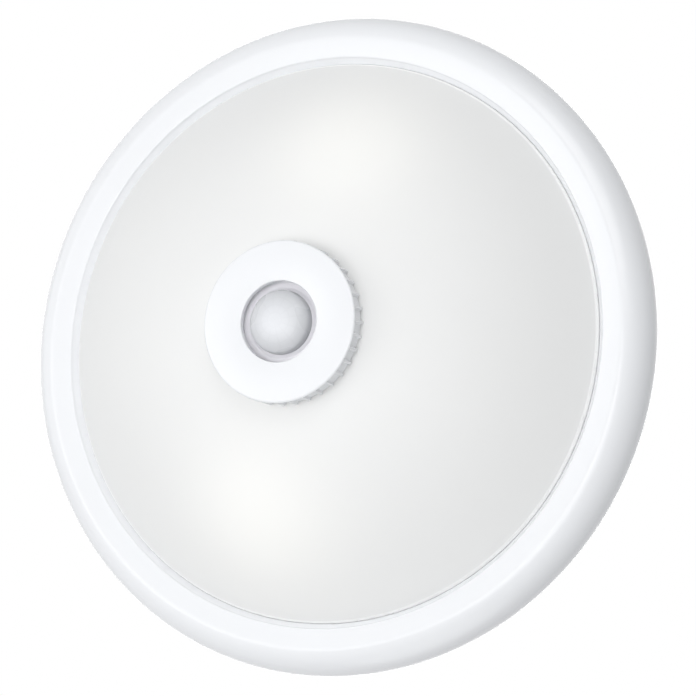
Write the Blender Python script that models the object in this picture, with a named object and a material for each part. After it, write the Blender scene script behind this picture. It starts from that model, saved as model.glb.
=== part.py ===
"""Round ceiling light with a motion sensor at the centre of its opal glass shade.

The light hangs below the ceiling. The origin is the middle of the mounting face,
+Z points up into the ceiling, and every depth below is measured down from that face.
All lengths are in metres.
"""

import math

import bmesh
import bpy
from mathutils import Vector

# Fits shared by all pieces
SEAT_GAP = 0.0003
CUT_OVERRUN = 0.0010
TOOL_TURN = math.radians(7)

# Base pan: one moulding with a rolled rim, a channel for the glass and a flat floor
RIM_OUTER_RADIUS = 0.1500
RIM_ROLL_RADIUS = 0.0135
RIM_WIDEST_DEPTH = 0.0170
PAN_WALL = 0.0025
RIM_FOOT_WIDTH = 0.0024
RIM_FOOT_INSET = 0.0077
RIM_BAND_WIDTH = 0.0214
LEDGE_WIDTH = 0.0008
LEDGE_RISE = 0.0011
LEDGE_DROP = 0.0041
LIP_SLOPE = 0.0003
LIP_ROUND = 0.0009
LIP_FALL = 0.0008
CHANNEL_SINK = 0.0095
CHANNEL_WIDTH = 0.0101
FOOT_ARC_END = math.radians(-62)
HOLLOW_ARC_END = math.radians(-45)
RIM_SEGMENTS = 48

# Glass shade
GLASS_THICKNESS = 0.0030
GLASS_EDGE_CLEARANCE = 0.0014
GLASS_COLLAR_HEIGHT = 0.0038
GLASS_HOLE_CLEARANCE = 0.0012
GLASS_ARC_STEPS = 6
GASKET_THICKNESS = 0.0012
GASKET_INNER_MARGIN = 0.0016
GASKET_OUTER_MARGIN = 0.0004

# Retaining nut and its washer
NUT_FACE_DEPTH = 0.0860
NUT_WALL = 0.0058
NUT_KNURL_DEPTH = 0.0008
NUT_RIB_COUNT = 36
NUT_DISC_THICKNESS = 0.0025
NUT_EDGE_ROUND = 0.0012
NUT_FOOT_CHAMFER = 0.0004
NUT_SKIRT_WALL = 0.0009
NUT_THREAD_CLEARANCE = 0.0004
NUT_WINDOW_MARGIN = 0.0039
NUT_WINDOW_CHAMFER = 0.0005
WASHER_THICKNESS = 0.0015
WASHER_WIDTH = 0.0036
WASHER_BORE_CLEARANCE = 0.0006

# Sensor housing: the post that the nut screws on to
POST_THREAD_HEIGHT = 0.0008
POST_THREAD_PITCH = 0.0025
POST_THREAD_TURNS = 3
POST_WALL = 0.0026
POST_TOP_CLEARANCE = 0.0004
POST_RIM_WALL = 0.0027
POST_RECESS = 0.0021
POST_TOP_THICKNESS = 0.0020
POST_BOARD_LEDGE = 0.0017
POST_FLANGE_WIDTH = 0.0088
POST_FLANGE_THICKNESS = 0.0025
POST_SEGMENTS = 32

# Lens and the clip behind it
LENS_RADIUS = 0.0142
LENS_PROUD = 0.0045
LENS_DOME_HEIGHT = 0.0063
LENS_WALL = 0.0010
LENS_FLANGE_WIDTH = 0.0022
LENS_FLANGE_THICKNESS = 0.0013
LENS_HOLE_CLEARANCE = 0.0005
LENS_SOCKET_WALL = 0.0016
LENS_SOCKET_HEIGHT = 0.0050
LENS_CLIP_THICKNESS = 0.0017
LENS_CLIP_WIDTH = 0.0030
LENS_DOME_STEPS = 5

# Circuit board and what stands on it
BOARD_DROP = 0.0174
BOARD_THICKNESS = 0.0016
BOARD_EDGE_CLEARANCE = 0.0004
PYRO_RADIUS = 0.0046
PYRO_HEIGHT = 0.0042
PYRO_FLANGE = 0.0006
LIGHT_SENSOR_RADIUS = 0.0025
LIGHT_SENSOR_HEIGHT = 0.0021
LIGHT_SENSOR_OFFSET = 0.0090
RELAY_SIZE = (0.0155, 0.0190, 0.0153)
RELAY_WIRE_CLEARANCE = 0.00145
CAPACITOR_RADIUS = 0.0050
CAPACITOR_HEIGHT = 0.0131
CAPACITOR_PLACE = (0.0110, 0.0100)
FILM_CAPACITOR_SIZE = (0.0130, 0.0060, 0.0110)
FILM_CAPACITOR_PLACE = (0.0100, -0.0090)

# Setting knobs for time and light level
KNOB_LENS_CLEARANCE = 0.0007
POT_SIDE = 0.0060
POT_HEIGHT = 0.0040
POT_WALL_CLEARANCE = 0.0009
POT_ANGLES = {"time": math.radians(60), "lux": math.radians(120)}
KNOB_SHAFT_RADIUS = 0.0020
KNOB_HEAD_RADIUS = 0.0026
KNOB_HEAD_HEIGHT = 0.0015
KNOB_SLOT_WIDTH = 0.0008
KNOB_SLOT_DEPTH = 0.0007

# Reflector plate
PLATE_BOSS_HEIGHT = 0.0024
PLATE_THICKNESS = 0.0008
PLATE_FLAT_MARGIN = 0.0085
PLATE_EDGE_MARGIN = 0.0035
PLATE_LIP_RISE = 0.0060
PLATE_BOSS_RADIUS = 0.0040
PLATE_SCREW_INSET = 0.0185
PLATE_SCREW_ANGLES = [math.radians(a) for a in (60, 180, 300)]
PLATE_BOSS_FLOOR = 0.0012
PLATE_SEGMENTS = 40

# Fixing slots and cable entry
SLOT_INSET = 0.0265
SLOT_WIDTH = 0.0052
SLOT_LENGTH = 0.0120
SLOT_ACCESS_RADIUS = 0.0085
CABLE_INSET = 0.0277
CABLE_ANGLE = math.radians(-69.4)
CABLE_HOLE_RADIUS = 0.0080
GROMMET_BORE_RADIUS = 0.0050
GROMMET_LIP = 0.0015
GROMMET_CABLE_MARGIN = 0.0015

# Screws and rivets
SCREW_HEAD_RADIUS = 0.0032
SCREW_HEAD_HEIGHT = 0.0020
SCREW_SHANK_RADIUS = 0.0015
SCREW_TIP_LENGTH = 0.0010
SCREW_HOLE_CLEARANCE = 0.0004
SCREW_SLOT_WIDTH = 0.0008
SCREW_SLOT_DEPTH = 0.0009
POST_SCREW_ANGLES = [math.radians(a) for a in (90, 210, 330)]
POST_SCREW_TAIL = 0.0018
RIVET_HEAD_RADIUS = 0.0026
RIVET_HEAD_HEIGHT = 0.0010
RIVET_SHANK_RADIUS = 0.0015
RIVET_TAIL_HEIGHT = 0.0008
RIVET_TAIL_RADIUS = 0.0022

# Lamp stations: bracket, lampholder and bulb, one on each side of the sensor
LAMP_SIDE_INSET = 0.0040
LAMP_BACK_SHARE = 0.4219
LAMP_AXIS_LIFT = 0.0024
HOLDER_BACK_RADIUS = 0.0160
HOLDER_MOUTH_RADIUS = 0.0195
HOLDER_BODY_LENGTH = 0.0240
HOLDER_TAPER_LENGTH = 0.0030
HOLDER_LENGTH = 0.0380
HOLDER_BORE_RADIUS = 0.0149
HOLDER_BACK_THICKNESS = 0.0090
HOLDER_SCREW_DEPTH = 0.0060
SHELL_THICKNESS = 0.0007
SHELL_START = 0.0120
SHELL_END = 0.0340
CONTACT_RADIUS = 0.0040
CONTACT_THICKNESS = 0.0012
BRACKET_THICKNESS = 0.0012
BRACKET_WIDTH = 0.0230
BRACKET_FOOT_LENGTH = 0.0140
BRACKET_TOP_MARGIN = 0.0090
RIVET_SPACING = 0.0130

# Bulb with a screw cap
GLOBE_GLASS_CLEARANCE = 0.0043
BULB_NECK_REACH = 0.0290
BULB_GLASS_WALL = 0.0010
BULB_NECK_RADIUS = 0.0116
BULB_NECK_LENGTH = 0.0080
CAP_RADIUS = 0.0132
CAP_THREAD_HEIGHT = 0.0007
CAP_THREAD_PITCH = 0.003629
CAP_THREAD_TURNS = 4
CAP_WALL = 0.0010
CAP_COLLAR_LENGTH = 0.0040
TIP_RADIUS = 0.0045
TIP_THICKNESS = 0.0014
INSULATOR_HEIGHT = 0.0030
INSULATOR_RADIUS = 0.0105
BULB_GLOBE_STEPS = 7
LAMP_SEGMENTS = 16

# Terminal block
BLOCK_SIZE = (0.0270, 0.0170, 0.0145)
BLOCK_FLANGE_CLEARANCE = 0.0135
BLOCK_POLE_PITCH = 0.0080
BLOCK_WELL_RADIUS = 0.0024
BLOCK_WELL_DEPTH = 0.0080
BLOCK_WIRE_RADIUS = 0.0017
BLOCK_WIRE_HEIGHT = 0.0050
BLOCK_WIRE_GRIP = 0.0040
BLOCK_SCREW_RADIUS = 0.0020
BLOCK_SCREW_HEIGHT = 0.0026

# Inside wiring
WIRE_RADIUS = 0.0011
WIRE_STEP = 0.0075
WIRE_LANE = 0.0016
WIRE_START_INSET = 0.0080
WIRE_TURN = 0.0020
WIRE_SETTLE = 0.0060
WIRE_TAIL_INSET = 0.0068
WIRE_WINDOW_RADIUS = 0.0036
WIRE_WINDOW_DEPTH = 0.0130
WIRE_REACH_SHARES = [(0, 0, 0), (0.2, 0, 0), (0.5, 0.2, 0.42), (0.73, 0.6, 0.8), (0.9, 0.93, 0.97)]

# Places that follow from the sizes above: the pan from its rim inwards
RIM_CENTRE_RADIUS = RIM_OUTER_RADIUS - RIM_ROLL_RADIUS
CREST_DEPTH = RIM_WIDEST_DEPTH + RIM_ROLL_RADIUS
CHANNEL_RADIUS = RIM_OUTER_RADIUS - RIM_BAND_WIDTH
CHANNEL_DEPTH = CREST_DEPTH - CHANNEL_SINK
PAN_RADIUS = CHANNEL_RADIUS - CHANNEL_WIDTH
FLOOR_DEPTH = PAN_WALL

# The sensor from its lens outwards to the nut
LENS_FLANGE_RADIUS = LENS_RADIUS + LENS_FLANGE_WIDTH
LENS_SOCKET_RADIUS = LENS_FLANGE_RADIUS + SEAT_GAP
POT_CIRCLE_RADIUS = LENS_SOCKET_RADIUS + LENS_SOCKET_WALL + KNOB_LENS_CLEARANCE + KNOB_SHAFT_RADIUS
POST_UPPER_BORE_RADIUS = POT_CIRCLE_RADIUS + POT_SIDE / 2 + POT_WALL_CLEARANCE
POST_BORE_RADIUS = POST_UPPER_BORE_RADIUS + POST_BOARD_LEDGE
POST_BODY_RADIUS = POST_BORE_RADIUS + POST_WALL
POST_THREAD_RADIUS = POST_BODY_RADIUS + POST_THREAD_HEIGHT
POST_FLANGE_RADIUS = POST_BODY_RADIUS + POST_FLANGE_WIDTH
POST_SCREW_CIRCLE = POST_BODY_RADIUS + POST_FLANGE_WIDTH / 2
NUT_BORE_RADIUS = POST_THREAD_RADIUS + NUT_THREAD_CLEARANCE
NUT_RADIUS = NUT_BORE_RADIUS + NUT_WALL
NUT_SKIRT_RADIUS = NUT_RADIUS - NUT_KNURL_DEPTH - NUT_SKIRT_WALL
NUT_WINDOW_RADIUS = LENS_RADIUS + NUT_WINDOW_MARGIN
WASHER_INNER_RADIUS = POST_THREAD_RADIUS + WASHER_BORE_CLEARANCE
WASHER_OUTER_RADIUS = WASHER_INNER_RADIUS + WASHER_WIDTH
WIRE_TAIL_RADIUS = POST_BORE_RADIUS - WIRE_TAIL_INSET
RELAY_OFFSET = WIRE_TAIL_RADIUS - WIRE_RADIUS - RELAY_WIRE_CLEARANCE - RELAY_SIZE[0] / 2
SCREW_HOLE_RADIUS = SCREW_SHANK_RADIUS + SCREW_HOLE_CLEARANCE

# Depths of the glass's edge, the nut and what the nut covers
GLASS_RADIUS = CHANNEL_RADIUS - GLASS_EDGE_CLEARANCE
GLASS_HOLE_RADIUS = POST_THREAD_RADIUS + GLASS_HOLE_CLEARANCE
GASKET_BACK_DEPTH = CHANNEL_DEPTH + SEAT_GAP
GLASS_EDGE_DEPTH = GASKET_BACK_DEPTH + GASKET_THICKNESS + SEAT_GAP
GLASS_DOME_START_DEPTH = GLASS_EDGE_DEPTH + GLASS_COLLAR_HEIGHT
NUT_CAVITY_DEPTH = NUT_FACE_DEPTH - NUT_DISC_THICKNESS
POST_RIM_DEPTH = NUT_CAVITY_DEPTH - POST_TOP_CLEARANCE
POST_FACE_DEPTH = POST_RIM_DEPTH - POST_RECESS
POST_CEILING_DEPTH = POST_FACE_DEPTH - POST_TOP_THICKNESS
LENS_APEX_DEPTH = NUT_FACE_DEPTH + LENS_PROUD
LENS_FLANGE_DEPTH = POST_CEILING_DEPTH - SEAT_GAP
BOARD_FRONT_DEPTH = POST_FACE_DEPTH - BOARD_DROP
BOARD_BACK_DEPTH = BOARD_FRONT_DEPTH - BOARD_THICKNESS

# The plate and where things stand on it
PLATE_BACK_DEPTH = FLOOR_DEPTH + PLATE_BOSS_HEIGHT + SEAT_GAP
PLATE_FRONT_DEPTH = PLATE_BACK_DEPTH + PLATE_THICKNESS
SHELF_DEPTH = PLATE_FRONT_DEPTH + SEAT_GAP
POST_FLANGE_DEPTH = SHELF_DEPTH + POST_FLANGE_THICKNESS
PLATE_FLAT_RADIUS = PAN_RADIUS - PLATE_FLAT_MARGIN
PLATE_SCREW_CIRCLE = PAN_RADIUS - PLATE_SCREW_INSET
SLOT_PLACE = PAN_RADIUS - SLOT_INSET
BLOCK_PLACE = -(POST_FLANGE_RADIUS + BLOCK_FLANGE_CLEARANCE + BLOCK_SIZE[1] / 2)
LAMP_SIDE = (POST_FLANGE_RADIUS + PLATE_FLAT_RADIUS) / 2 - LAMP_SIDE_INSET
LAMP_BACK = PAN_RADIUS * LAMP_BACK_SHARE


def sphere_through(outer, inner):
    """Centre depth and radius of a sphere on the lamp's axis through two (radius, depth) points."""
    (r1, d1), (r2, d2) = outer, inner
    centre = (r1**2 + d1**2 - r2**2 - d2**2) / (2 * (d1 - d2))
    return centre, math.hypot(r1, d1 - centre)


# The dome just clears the skirt of the nut, whose foot stands on the washer's far side
NUT_FOOT_SHARE = 0.891
NUT_SEAT_DEPTH = NUT_FACE_DEPTH * NUT_FOOT_SHARE
DOME_CENTRE, DOME_RADIUS = sphere_through(
    (GLASS_RADIUS, GLASS_DOME_START_DEPTH), (WASHER_INNER_RADIUS, NUT_SEAT_DEPTH)
)


def dome_depth(radius, inset=0.0):
    """Depth of the glass at a radius, on its outside or a distance inside it."""
    return DOME_CENTRE + math.sqrt((DOME_RADIUS - inset) ** 2 - radius**2)


WASHER_BACK_DEPTH = dome_depth(WASHER_INNER_RADIUS) + SEAT_GAP
WASHER_FRONT_DEPTH = WASHER_BACK_DEPTH + WASHER_THICKNESS
NUT_SHOULDER_DEPTH = WASHER_FRONT_DEPTH + SEAT_GAP
NUT_FOOT_DEPTH = dome_depth(NUT_SKIRT_RADIUS) + SEAT_GAP

# Along a lamp, from the back of its holder. The globe fills the room that the glass leaves
BULB_START = HOLDER_BACK_THICKNESS + CONTACT_THICKNESS + 2 * SEAT_GAP
INSULATOR_START = BULB_START + TIP_THICKNESS + SEAT_GAP
CAP_START = INSULATOR_START + INSULATOR_HEIGHT + SEAT_GAP
CAP_END = CAP_START + CAP_THREAD_TURNS * CAP_THREAD_PITCH + CAP_COLLAR_LENGTH
GLOBE_MIDDLE = CAP_END + BULB_NECK_REACH
LAMP_AXIS_DEPTH = (PLATE_FRONT_DEPTH + dome_depth(LAMP_SIDE, GLASS_THICKNESS)) / 2 - LAMP_AXIS_LIFT
BULB_GLOBE_RADIUS = DOME_RADIUS - GLASS_THICKNESS - GLOBE_GLASS_CLEARANCE - math.hypot(
    LAMP_SIDE, GLOBE_MIDDLE - LAMP_BACK, LAMP_AXIS_DEPTH - DOME_CENTRE
)


def on_circle(radius, angle):
    return radius * math.cos(angle), radius * math.sin(angle)


CABLE_PLACE = on_circle(PAN_RADIUS - CABLE_INSET, CABLE_ANGLE)


def clear_scene():
    for old in list(bpy.data.objects):
        bpy.data.objects.remove(old)


def finish(name, colour, roughness, metallic=0.0, alpha=1.0):
    """One Principled material."""
    made = bpy.data.materials.new(name)
    made.use_nodes = True
    shader = made.node_tree.nodes["Principled BSDF"]
    shader.inputs["Base Color"].default_value = (*colour, 1.0)
    shader.inputs["Roughness"].default_value = roughness
    shader.inputs["Metallic"].default_value = metallic
    shader.inputs["Alpha"].default_value = alpha
    return made


def place(name, bm, material, parent=None, location=(0, 0, 0), turn=(0, 0, 0)):
    """Turns a bmesh into a named, smooth-shaded object."""
    bmesh.ops.recalc_face_normals(bm, faces=bm.faces)
    mesh = bpy.data.meshes.new(name)
    bm.to_mesh(mesh)
    bm.free()
    mesh.shade_smooth()
    mesh.set_sharp_from_angle(angle=math.radians(32))
    mesh.materials.append(material)
    made = bpy.data.objects.new(name, mesh)
    bpy.context.scene.collection.objects.link(made)
    made.parent = parent
    made.location = location
    made.rotation_euler = turn
    return made


def empty(name, location=(0, 0, 0), turn=(0, 0, 0)):
    made = bpy.data.objects.new(name, None)
    bpy.context.scene.collection.objects.link(made)
    made.location = location
    made.rotation_euler = turn
    return made


def hanging(outline):
    """(radius, depth) points as (radius, height) points below the ceiling."""
    return [(radius, -depth) for radius, depth in outline]


def turned(name, outline, material, segments, **where):
    """A solid turned about its own Z axis from a closed outline of (radius, height) points."""
    bm = bmesh.new()
    ring = [bm.verts.new((radius, 0, height)) for radius, height in outline]
    edges = []
    for first, second in zip(ring, ring[1:] + ring[:1]):
        if first.co.x > 0 or second.co.x > 0:
            edges.append(bm.edges.new((first, second)))
    bmesh.ops.spin(
        bm, geom=edges, cent=(0, 0, 0), axis=(0, 0, 1), dvec=(0, 0, 0),
        angle=2 * math.pi, steps=segments, use_merge=True, use_duplicate=False,
    )
    bmesh.ops.remove_doubles(bm, verts=bm.verts, dist=SEAT_GAP / 100)
    bmesh.ops.dissolve_degenerate(bm, edges=bm.edges, dist=SEAT_GAP / 100)
    return place(name, bm, material, **where)


def lofted(name, rings, material, **where):
    """A ring-shaped solid through rings of points, each joined to the next and the last to the first."""
    bm = bmesh.new()
    rows = [[bm.verts.new(point) for point in ring] for ring in rings]
    count = len(rows[0])
    for row, after in zip(rows, rows[1:] + rows[:1]):
        for i in range(count):
            j = (i + 1) % count
            bm.faces.new((row[i], row[j], after[j], after[i]))
    return place(name, bm, material, **where)


def extruded(name, outline, length, material, **where):
    """A flat outline of (x, y) points pushed along Z, centred on its own length."""
    bm = bmesh.new()
    face = bm.faces.new([bm.verts.new((x, y, -length / 2)) for x, y in outline])
    pushed = bmesh.ops.extrude_face_region(bm, geom=[face])
    moved = [v for v in pushed["geom"] if isinstance(v, bmesh.types.BMVert)]
    bmesh.ops.translate(bm, verts=moved, vec=(0, 0, length))
    return place(name, bm, material, **where)


def block(name, size, material, **where):
    """A rectangular solid centred on its own origin."""
    bm = bmesh.new()
    bmesh.ops.create_cube(bm, size=1.0)
    bmesh.ops.scale(bm, vec=size, verts=bm.verts)
    return place(name, bm, material, **where)


def rod(name, radius, low, high, material, segments=12, **where):
    """A plain cylinder along Z between two heights."""
    return turned(name, [(0, low), (radius, low), (radius, high), (0, high)], material, segments, **where)


def as_tool(tool):
    tool.hide_render = True
    tool.display_type = "WIRE"
    return tool


def combine(target, tool, operation):
    """Adds a Boolean to the target and hides its tool."""
    step = target.modifiers.new(tool.name, "BOOLEAN")
    step.operation = operation
    step.object = as_tool(tool)
    return target


def cut(target, tool):
    return combine(target, tool, "DIFFERENCE")


def join(target, tool):
    return combine(target, tool, "UNION")


def drill(target, label, radius, low_depth, high_depth, x, y, finish_of, segments=12):
    """Cuts a round hole along Z between two depths."""
    tool = rod(
        f"{target.name}_{label}", radius, -high_depth, -low_depth, finish_of, segments,
        location=(x, y, 0), turn=(0, 0, TOOL_TURN),
    )
    return cut(target, tool)


def arc(centre_radius, centre_depth, radial, axial, start, end, steps):
    """Points of an elliptical arc in the (radius, depth) plane, both ends included."""
    points = []
    for i in range(steps + 1):
        angle = start + (end - start) * i / steps
        points.append((centre_radius + radial * math.cos(angle), centre_depth + axial * math.sin(angle)))
    return points


def pan_outline():
    """Section of the base pan: back face, hollow rim, rolled front, glass channel and floor."""
    quarter = math.pi / 2
    hollow = RIM_ROLL_RADIUS - PAN_WALL
    lip_radius = CHANNEL_RADIUS + LEDGE_WIDTH
    foot_outer = RIM_OUTER_RADIUS - RIM_FOOT_INSET
    back = [
        (0, 0),
        (PAN_RADIUS + PAN_WALL, 0),
        (PAN_RADIUS + PAN_WALL, CHANNEL_DEPTH - PAN_WALL),
        (CHANNEL_RADIUS + PAN_WALL, CHANNEL_DEPTH - PAN_WALL),
        (CHANNEL_RADIUS + PAN_WALL, CREST_DEPTH - LEDGE_DROP - PAN_WALL),
        (lip_radius + PAN_WALL, CREST_DEPTH - LEDGE_DROP + LEDGE_RISE - PAN_WALL),
    ]
    inside = arc(RIM_CENTRE_RADIUS, RIM_WIDEST_DEPTH, hollow, hollow, quarter, 0, 2)
    inside += arc(RIM_CENTRE_RADIUS, RIM_WIDEST_DEPTH, hollow, RIM_WIDEST_DEPTH, 0, HOLLOW_ARC_END, 2)[1:]
    foot = [(foot_outer - RIM_FOOT_WIDTH, 0), (foot_outer, 0)]
    outside = arc(
        RIM_CENTRE_RADIUS, RIM_WIDEST_DEPTH, RIM_ROLL_RADIUS, RIM_WIDEST_DEPTH, FOOT_ARC_END, 0, 3
    )
    outside += arc(
        RIM_CENTRE_RADIUS, RIM_WIDEST_DEPTH, RIM_ROLL_RADIUS, RIM_ROLL_RADIUS, 0, quarter, 5
    )[1:]
    crown_edge = lip_radius + LIP_SLOPE + LIP_ROUND
    lip = [
        ((RIM_CENTRE_RADIUS + crown_edge) / 2, CREST_DEPTH - LIP_FALL / 4),
        (crown_edge, CREST_DEPTH - LIP_FALL),
        (lip_radius + LIP_SLOPE, CREST_DEPTH - LIP_FALL - LIP_ROUND),
        (lip_radius, CREST_DEPTH - LEDGE_DROP + LEDGE_RISE),
        (CHANNEL_RADIUS, CREST_DEPTH - LEDGE_DROP),
    ]
    front = [
        (CHANNEL_RADIUS, CHANNEL_DEPTH),
        (PAN_RADIUS, CHANNEL_DEPTH),
        (PAN_RADIUS, FLOOR_DEPTH),
        (0, FLOOR_DEPTH),
    ]
    return back + inside + foot + outside + lip + front


def slot_tool(name, y, material):
    """A round-ended slot along Y that passes through the pan's floor."""
    reach = (SLOT_LENGTH - SLOT_WIDTH) / 2
    outline = []
    for centre, start in ((reach, 0), (-reach, math.pi)):
        for i in range(7):
            angle = start + math.pi * i / 6
            x, up = on_circle(SLOT_WIDTH / 2, angle)
            outline.append((x, centre + up))
    height = FLOOR_DEPTH + 2 * CUT_OVERRUN
    return extruded(name, outline, height, material, location=(0, y, -FLOOR_DEPTH / 2))


def make_base_pan(white):
    pan = turned("base_pan", hanging(pan_outline()), white, RIM_SEGMENTS)
    boss_top = FLOOR_DEPTH + PLATE_BOSS_HEIGHT
    for i, angle in enumerate(PLATE_SCREW_ANGLES, 1):
        x, y = on_circle(PLATE_SCREW_CIRCLE, angle)
        boss = rod(
            f"pan_boss_{i}", PLATE_BOSS_RADIUS, -boss_top, -FLOOR_DEPTH + CUT_OVERRUN, white,
            location=(x, y, 0),
        )
        join(pan, boss)
        drill(
            pan, f"pilot_{i}", SCREW_HOLE_RADIUS, PLATE_BOSS_FLOOR, boss_top + CUT_OVERRUN, x, y, white, 10
        )
    for i, y in enumerate((SLOT_PLACE, -SLOT_PLACE), 1):
        cut(pan, slot_tool(f"pan_slot_{i}", y, white))
    drill(
        pan, "cable_hole", CABLE_HOLE_RADIUS, -CUT_OVERRUN, FLOOR_DEPTH + CUT_OVERRUN, *CABLE_PLACE, white, 20
    )


def make_grommet(rubber):
    """Rubber ring in the cable hole, flush with the ceiling side."""
    edge = CABLE_HOLE_RADIUS - SEAT_GAP
    outer = edge + GROMMET_LIP
    top = FLOOR_DEPTH + SEAT_GAP
    outline = [
        (GROMMET_BORE_RADIUS, 0),
        (edge, 0),
        (edge, top),
        (outer, top),
        (outer, top + GROMMET_LIP),
        (GROMMET_BORE_RADIUS, top + GROMMET_LIP),
    ]
    turned("cable_grommet", hanging(outline), rubber, 32, location=(*CABLE_PLACE, 0))


def make_gasket(foam):
    inner = GLASS_RADIUS - GLASS_THICKNESS - GASKET_INNER_MARGIN
    outer = CHANNEL_RADIUS - GASKET_OUTER_MARGIN
    front = GASKET_BACK_DEPTH + GASKET_THICKNESS
    outline = [(inner, GASKET_BACK_DEPTH), (outer, GASKET_BACK_DEPTH), (outer, front), (inner, front)]
    turned("glass_gasket", hanging(outline), foam, RIM_SEGMENTS)


def dome_points(from_radius, to_radius, inset):
    """Points along the dome, evenly spaced by angle about its centre."""
    shell = DOME_RADIUS - inset
    first, last = (math.asin(radius / shell) for radius in (from_radius, to_radius))
    points = []
    for i in range(GLASS_ARC_STEPS + 1):
        angle = first + (last - first) * i / GLASS_ARC_STEPS
        points.append((shell * math.sin(angle), DOME_CENTRE + shell * math.cos(angle)))
    return points


def make_shade(opal, carrier):
    inner_radius = GLASS_RADIUS - GLASS_THICKNESS
    outline = [(GLASS_RADIUS, GLASS_EDGE_DEPTH)]
    outline += dome_points(GLASS_RADIUS, GLASS_HOLE_RADIUS, 0.0)
    outline += dome_points(GLASS_HOLE_RADIUS, inner_radius, GLASS_THICKNESS)
    outline += [(inner_radius, GLASS_EDGE_DEPTH)]
    turned("glass_shade", hanging(outline), opal, RIM_SEGMENTS, parent=carrier)


def make_washer(rubber, carrier):
    outline = [
        (WASHER_INNER_RADIUS, WASHER_BACK_DEPTH),
        (WASHER_OUTER_RADIUS, WASHER_BACK_DEPTH),
        (WASHER_OUTER_RADIUS, WASHER_FRONT_DEPTH),
        (WASHER_INNER_RADIUS, WASHER_FRONT_DEPTH),
    ]
    turned("nut_washer", hanging(outline), rubber, POST_SEGMENTS, parent=carrier)


def make_nut(white, carrier):
    """Retaining nut: a knurled skirt, a threaded bore and a front disc with a window for the lens."""
    count = 2 * NUT_RIB_COUNT

    def ring(radius, depth, valley=0.0):
        points = []
        for i in range(count):
            x, y = on_circle(radius - valley * (i % 2), 2 * math.pi * i / count)
            points.append((x, y, -depth))
        return points

    rings = [
        ring(NUT_SKIRT_RADIUS, NUT_FOOT_DEPTH),
        ring(NUT_RADIUS - NUT_FOOT_CHAMFER, NUT_FOOT_DEPTH, NUT_KNURL_DEPTH - NUT_FOOT_CHAMFER),
        ring(NUT_RADIUS, NUT_FOOT_DEPTH + NUT_FOOT_CHAMFER, NUT_KNURL_DEPTH),
        ring(NUT_RADIUS, NUT_FACE_DEPTH - NUT_EDGE_ROUND, NUT_KNURL_DEPTH),
        ring(NUT_RADIUS - NUT_EDGE_ROUND, NUT_FACE_DEPTH),
        ring(NUT_WINDOW_RADIUS + NUT_WINDOW_CHAMFER, NUT_FACE_DEPTH),
        ring(NUT_WINDOW_RADIUS, NUT_FACE_DEPTH - NUT_WINDOW_CHAMFER),
        ring(NUT_WINDOW_RADIUS, NUT_CAVITY_DEPTH),
        ring(NUT_BORE_RADIUS, NUT_CAVITY_DEPTH),
        ring(NUT_BORE_RADIUS, NUT_SHOULDER_DEPTH),
        ring(NUT_SKIRT_RADIUS, NUT_SHOULDER_DEPTH),
    ]
    lofted("retaining_nut", rings, white, parent=carrier)


def post_outline():
    """Section of the sensor housing: foot flange, thread, recessed top, lens socket and bore."""
    root = POST_BODY_RADIUS
    thread_top = POST_RIM_DEPTH - POST_THREAD_HEIGHT
    outside = [
        (POST_BORE_RADIUS, SHELF_DEPTH),
        (POST_FLANGE_RADIUS, SHELF_DEPTH),
        (POST_FLANGE_RADIUS, POST_FLANGE_DEPTH),
        (root, POST_FLANGE_DEPTH),
    ]
    first_turn = thread_top - POST_THREAD_TURNS * POST_THREAD_PITCH
    for turn in range(POST_THREAD_TURNS):
        start = first_turn + turn * POST_THREAD_PITCH
        outside.append((root, start))
        outside.append((POST_THREAD_RADIUS, start + POST_THREAD_PITCH / 2))
    rim = [
        (root, thread_top),
        (root, POST_RIM_DEPTH),
        (root - POST_RIM_WALL, POST_RIM_DEPTH),
        (root - POST_RIM_WALL, POST_FACE_DEPTH),
    ]
    lens_hole = LENS_RADIUS + LENS_HOLE_CLEARANCE
    socket = LENS_SOCKET_RADIUS
    inside = [
        (lens_hole, POST_FACE_DEPTH),
        (lens_hole, POST_CEILING_DEPTH),
        (socket, POST_CEILING_DEPTH),
        (socket, POST_CEILING_DEPTH - LENS_SOCKET_HEIGHT),
        (socket + LENS_SOCKET_WALL, POST_CEILING_DEPTH - LENS_SOCKET_HEIGHT),
        (socket + LENS_SOCKET_WALL, POST_CEILING_DEPTH),
        (POST_UPPER_BORE_RADIUS, POST_CEILING_DEPTH),
        (POST_UPPER_BORE_RADIUS, BOARD_FRONT_DEPTH + SEAT_GAP),
        (POST_BORE_RADIUS, BOARD_FRONT_DEPTH + SEAT_GAP),
    ]
    return outside + rim + inside


def window_tool(name, angle, material):
    """A round tool that passes through the post's wall at one angle, for a pair of wires."""
    x, y = on_circle(POST_BODY_RADIUS - POST_WALL / 2, angle)
    reach = POST_WALL / 2 + CUT_OVERRUN
    return rod(
        name, WIRE_WINDOW_RADIUS, -reach, reach, material, 12,
        location=(x, y, -WIRE_WINDOW_DEPTH), turn=(0, math.pi / 2, angle),
    )


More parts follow.
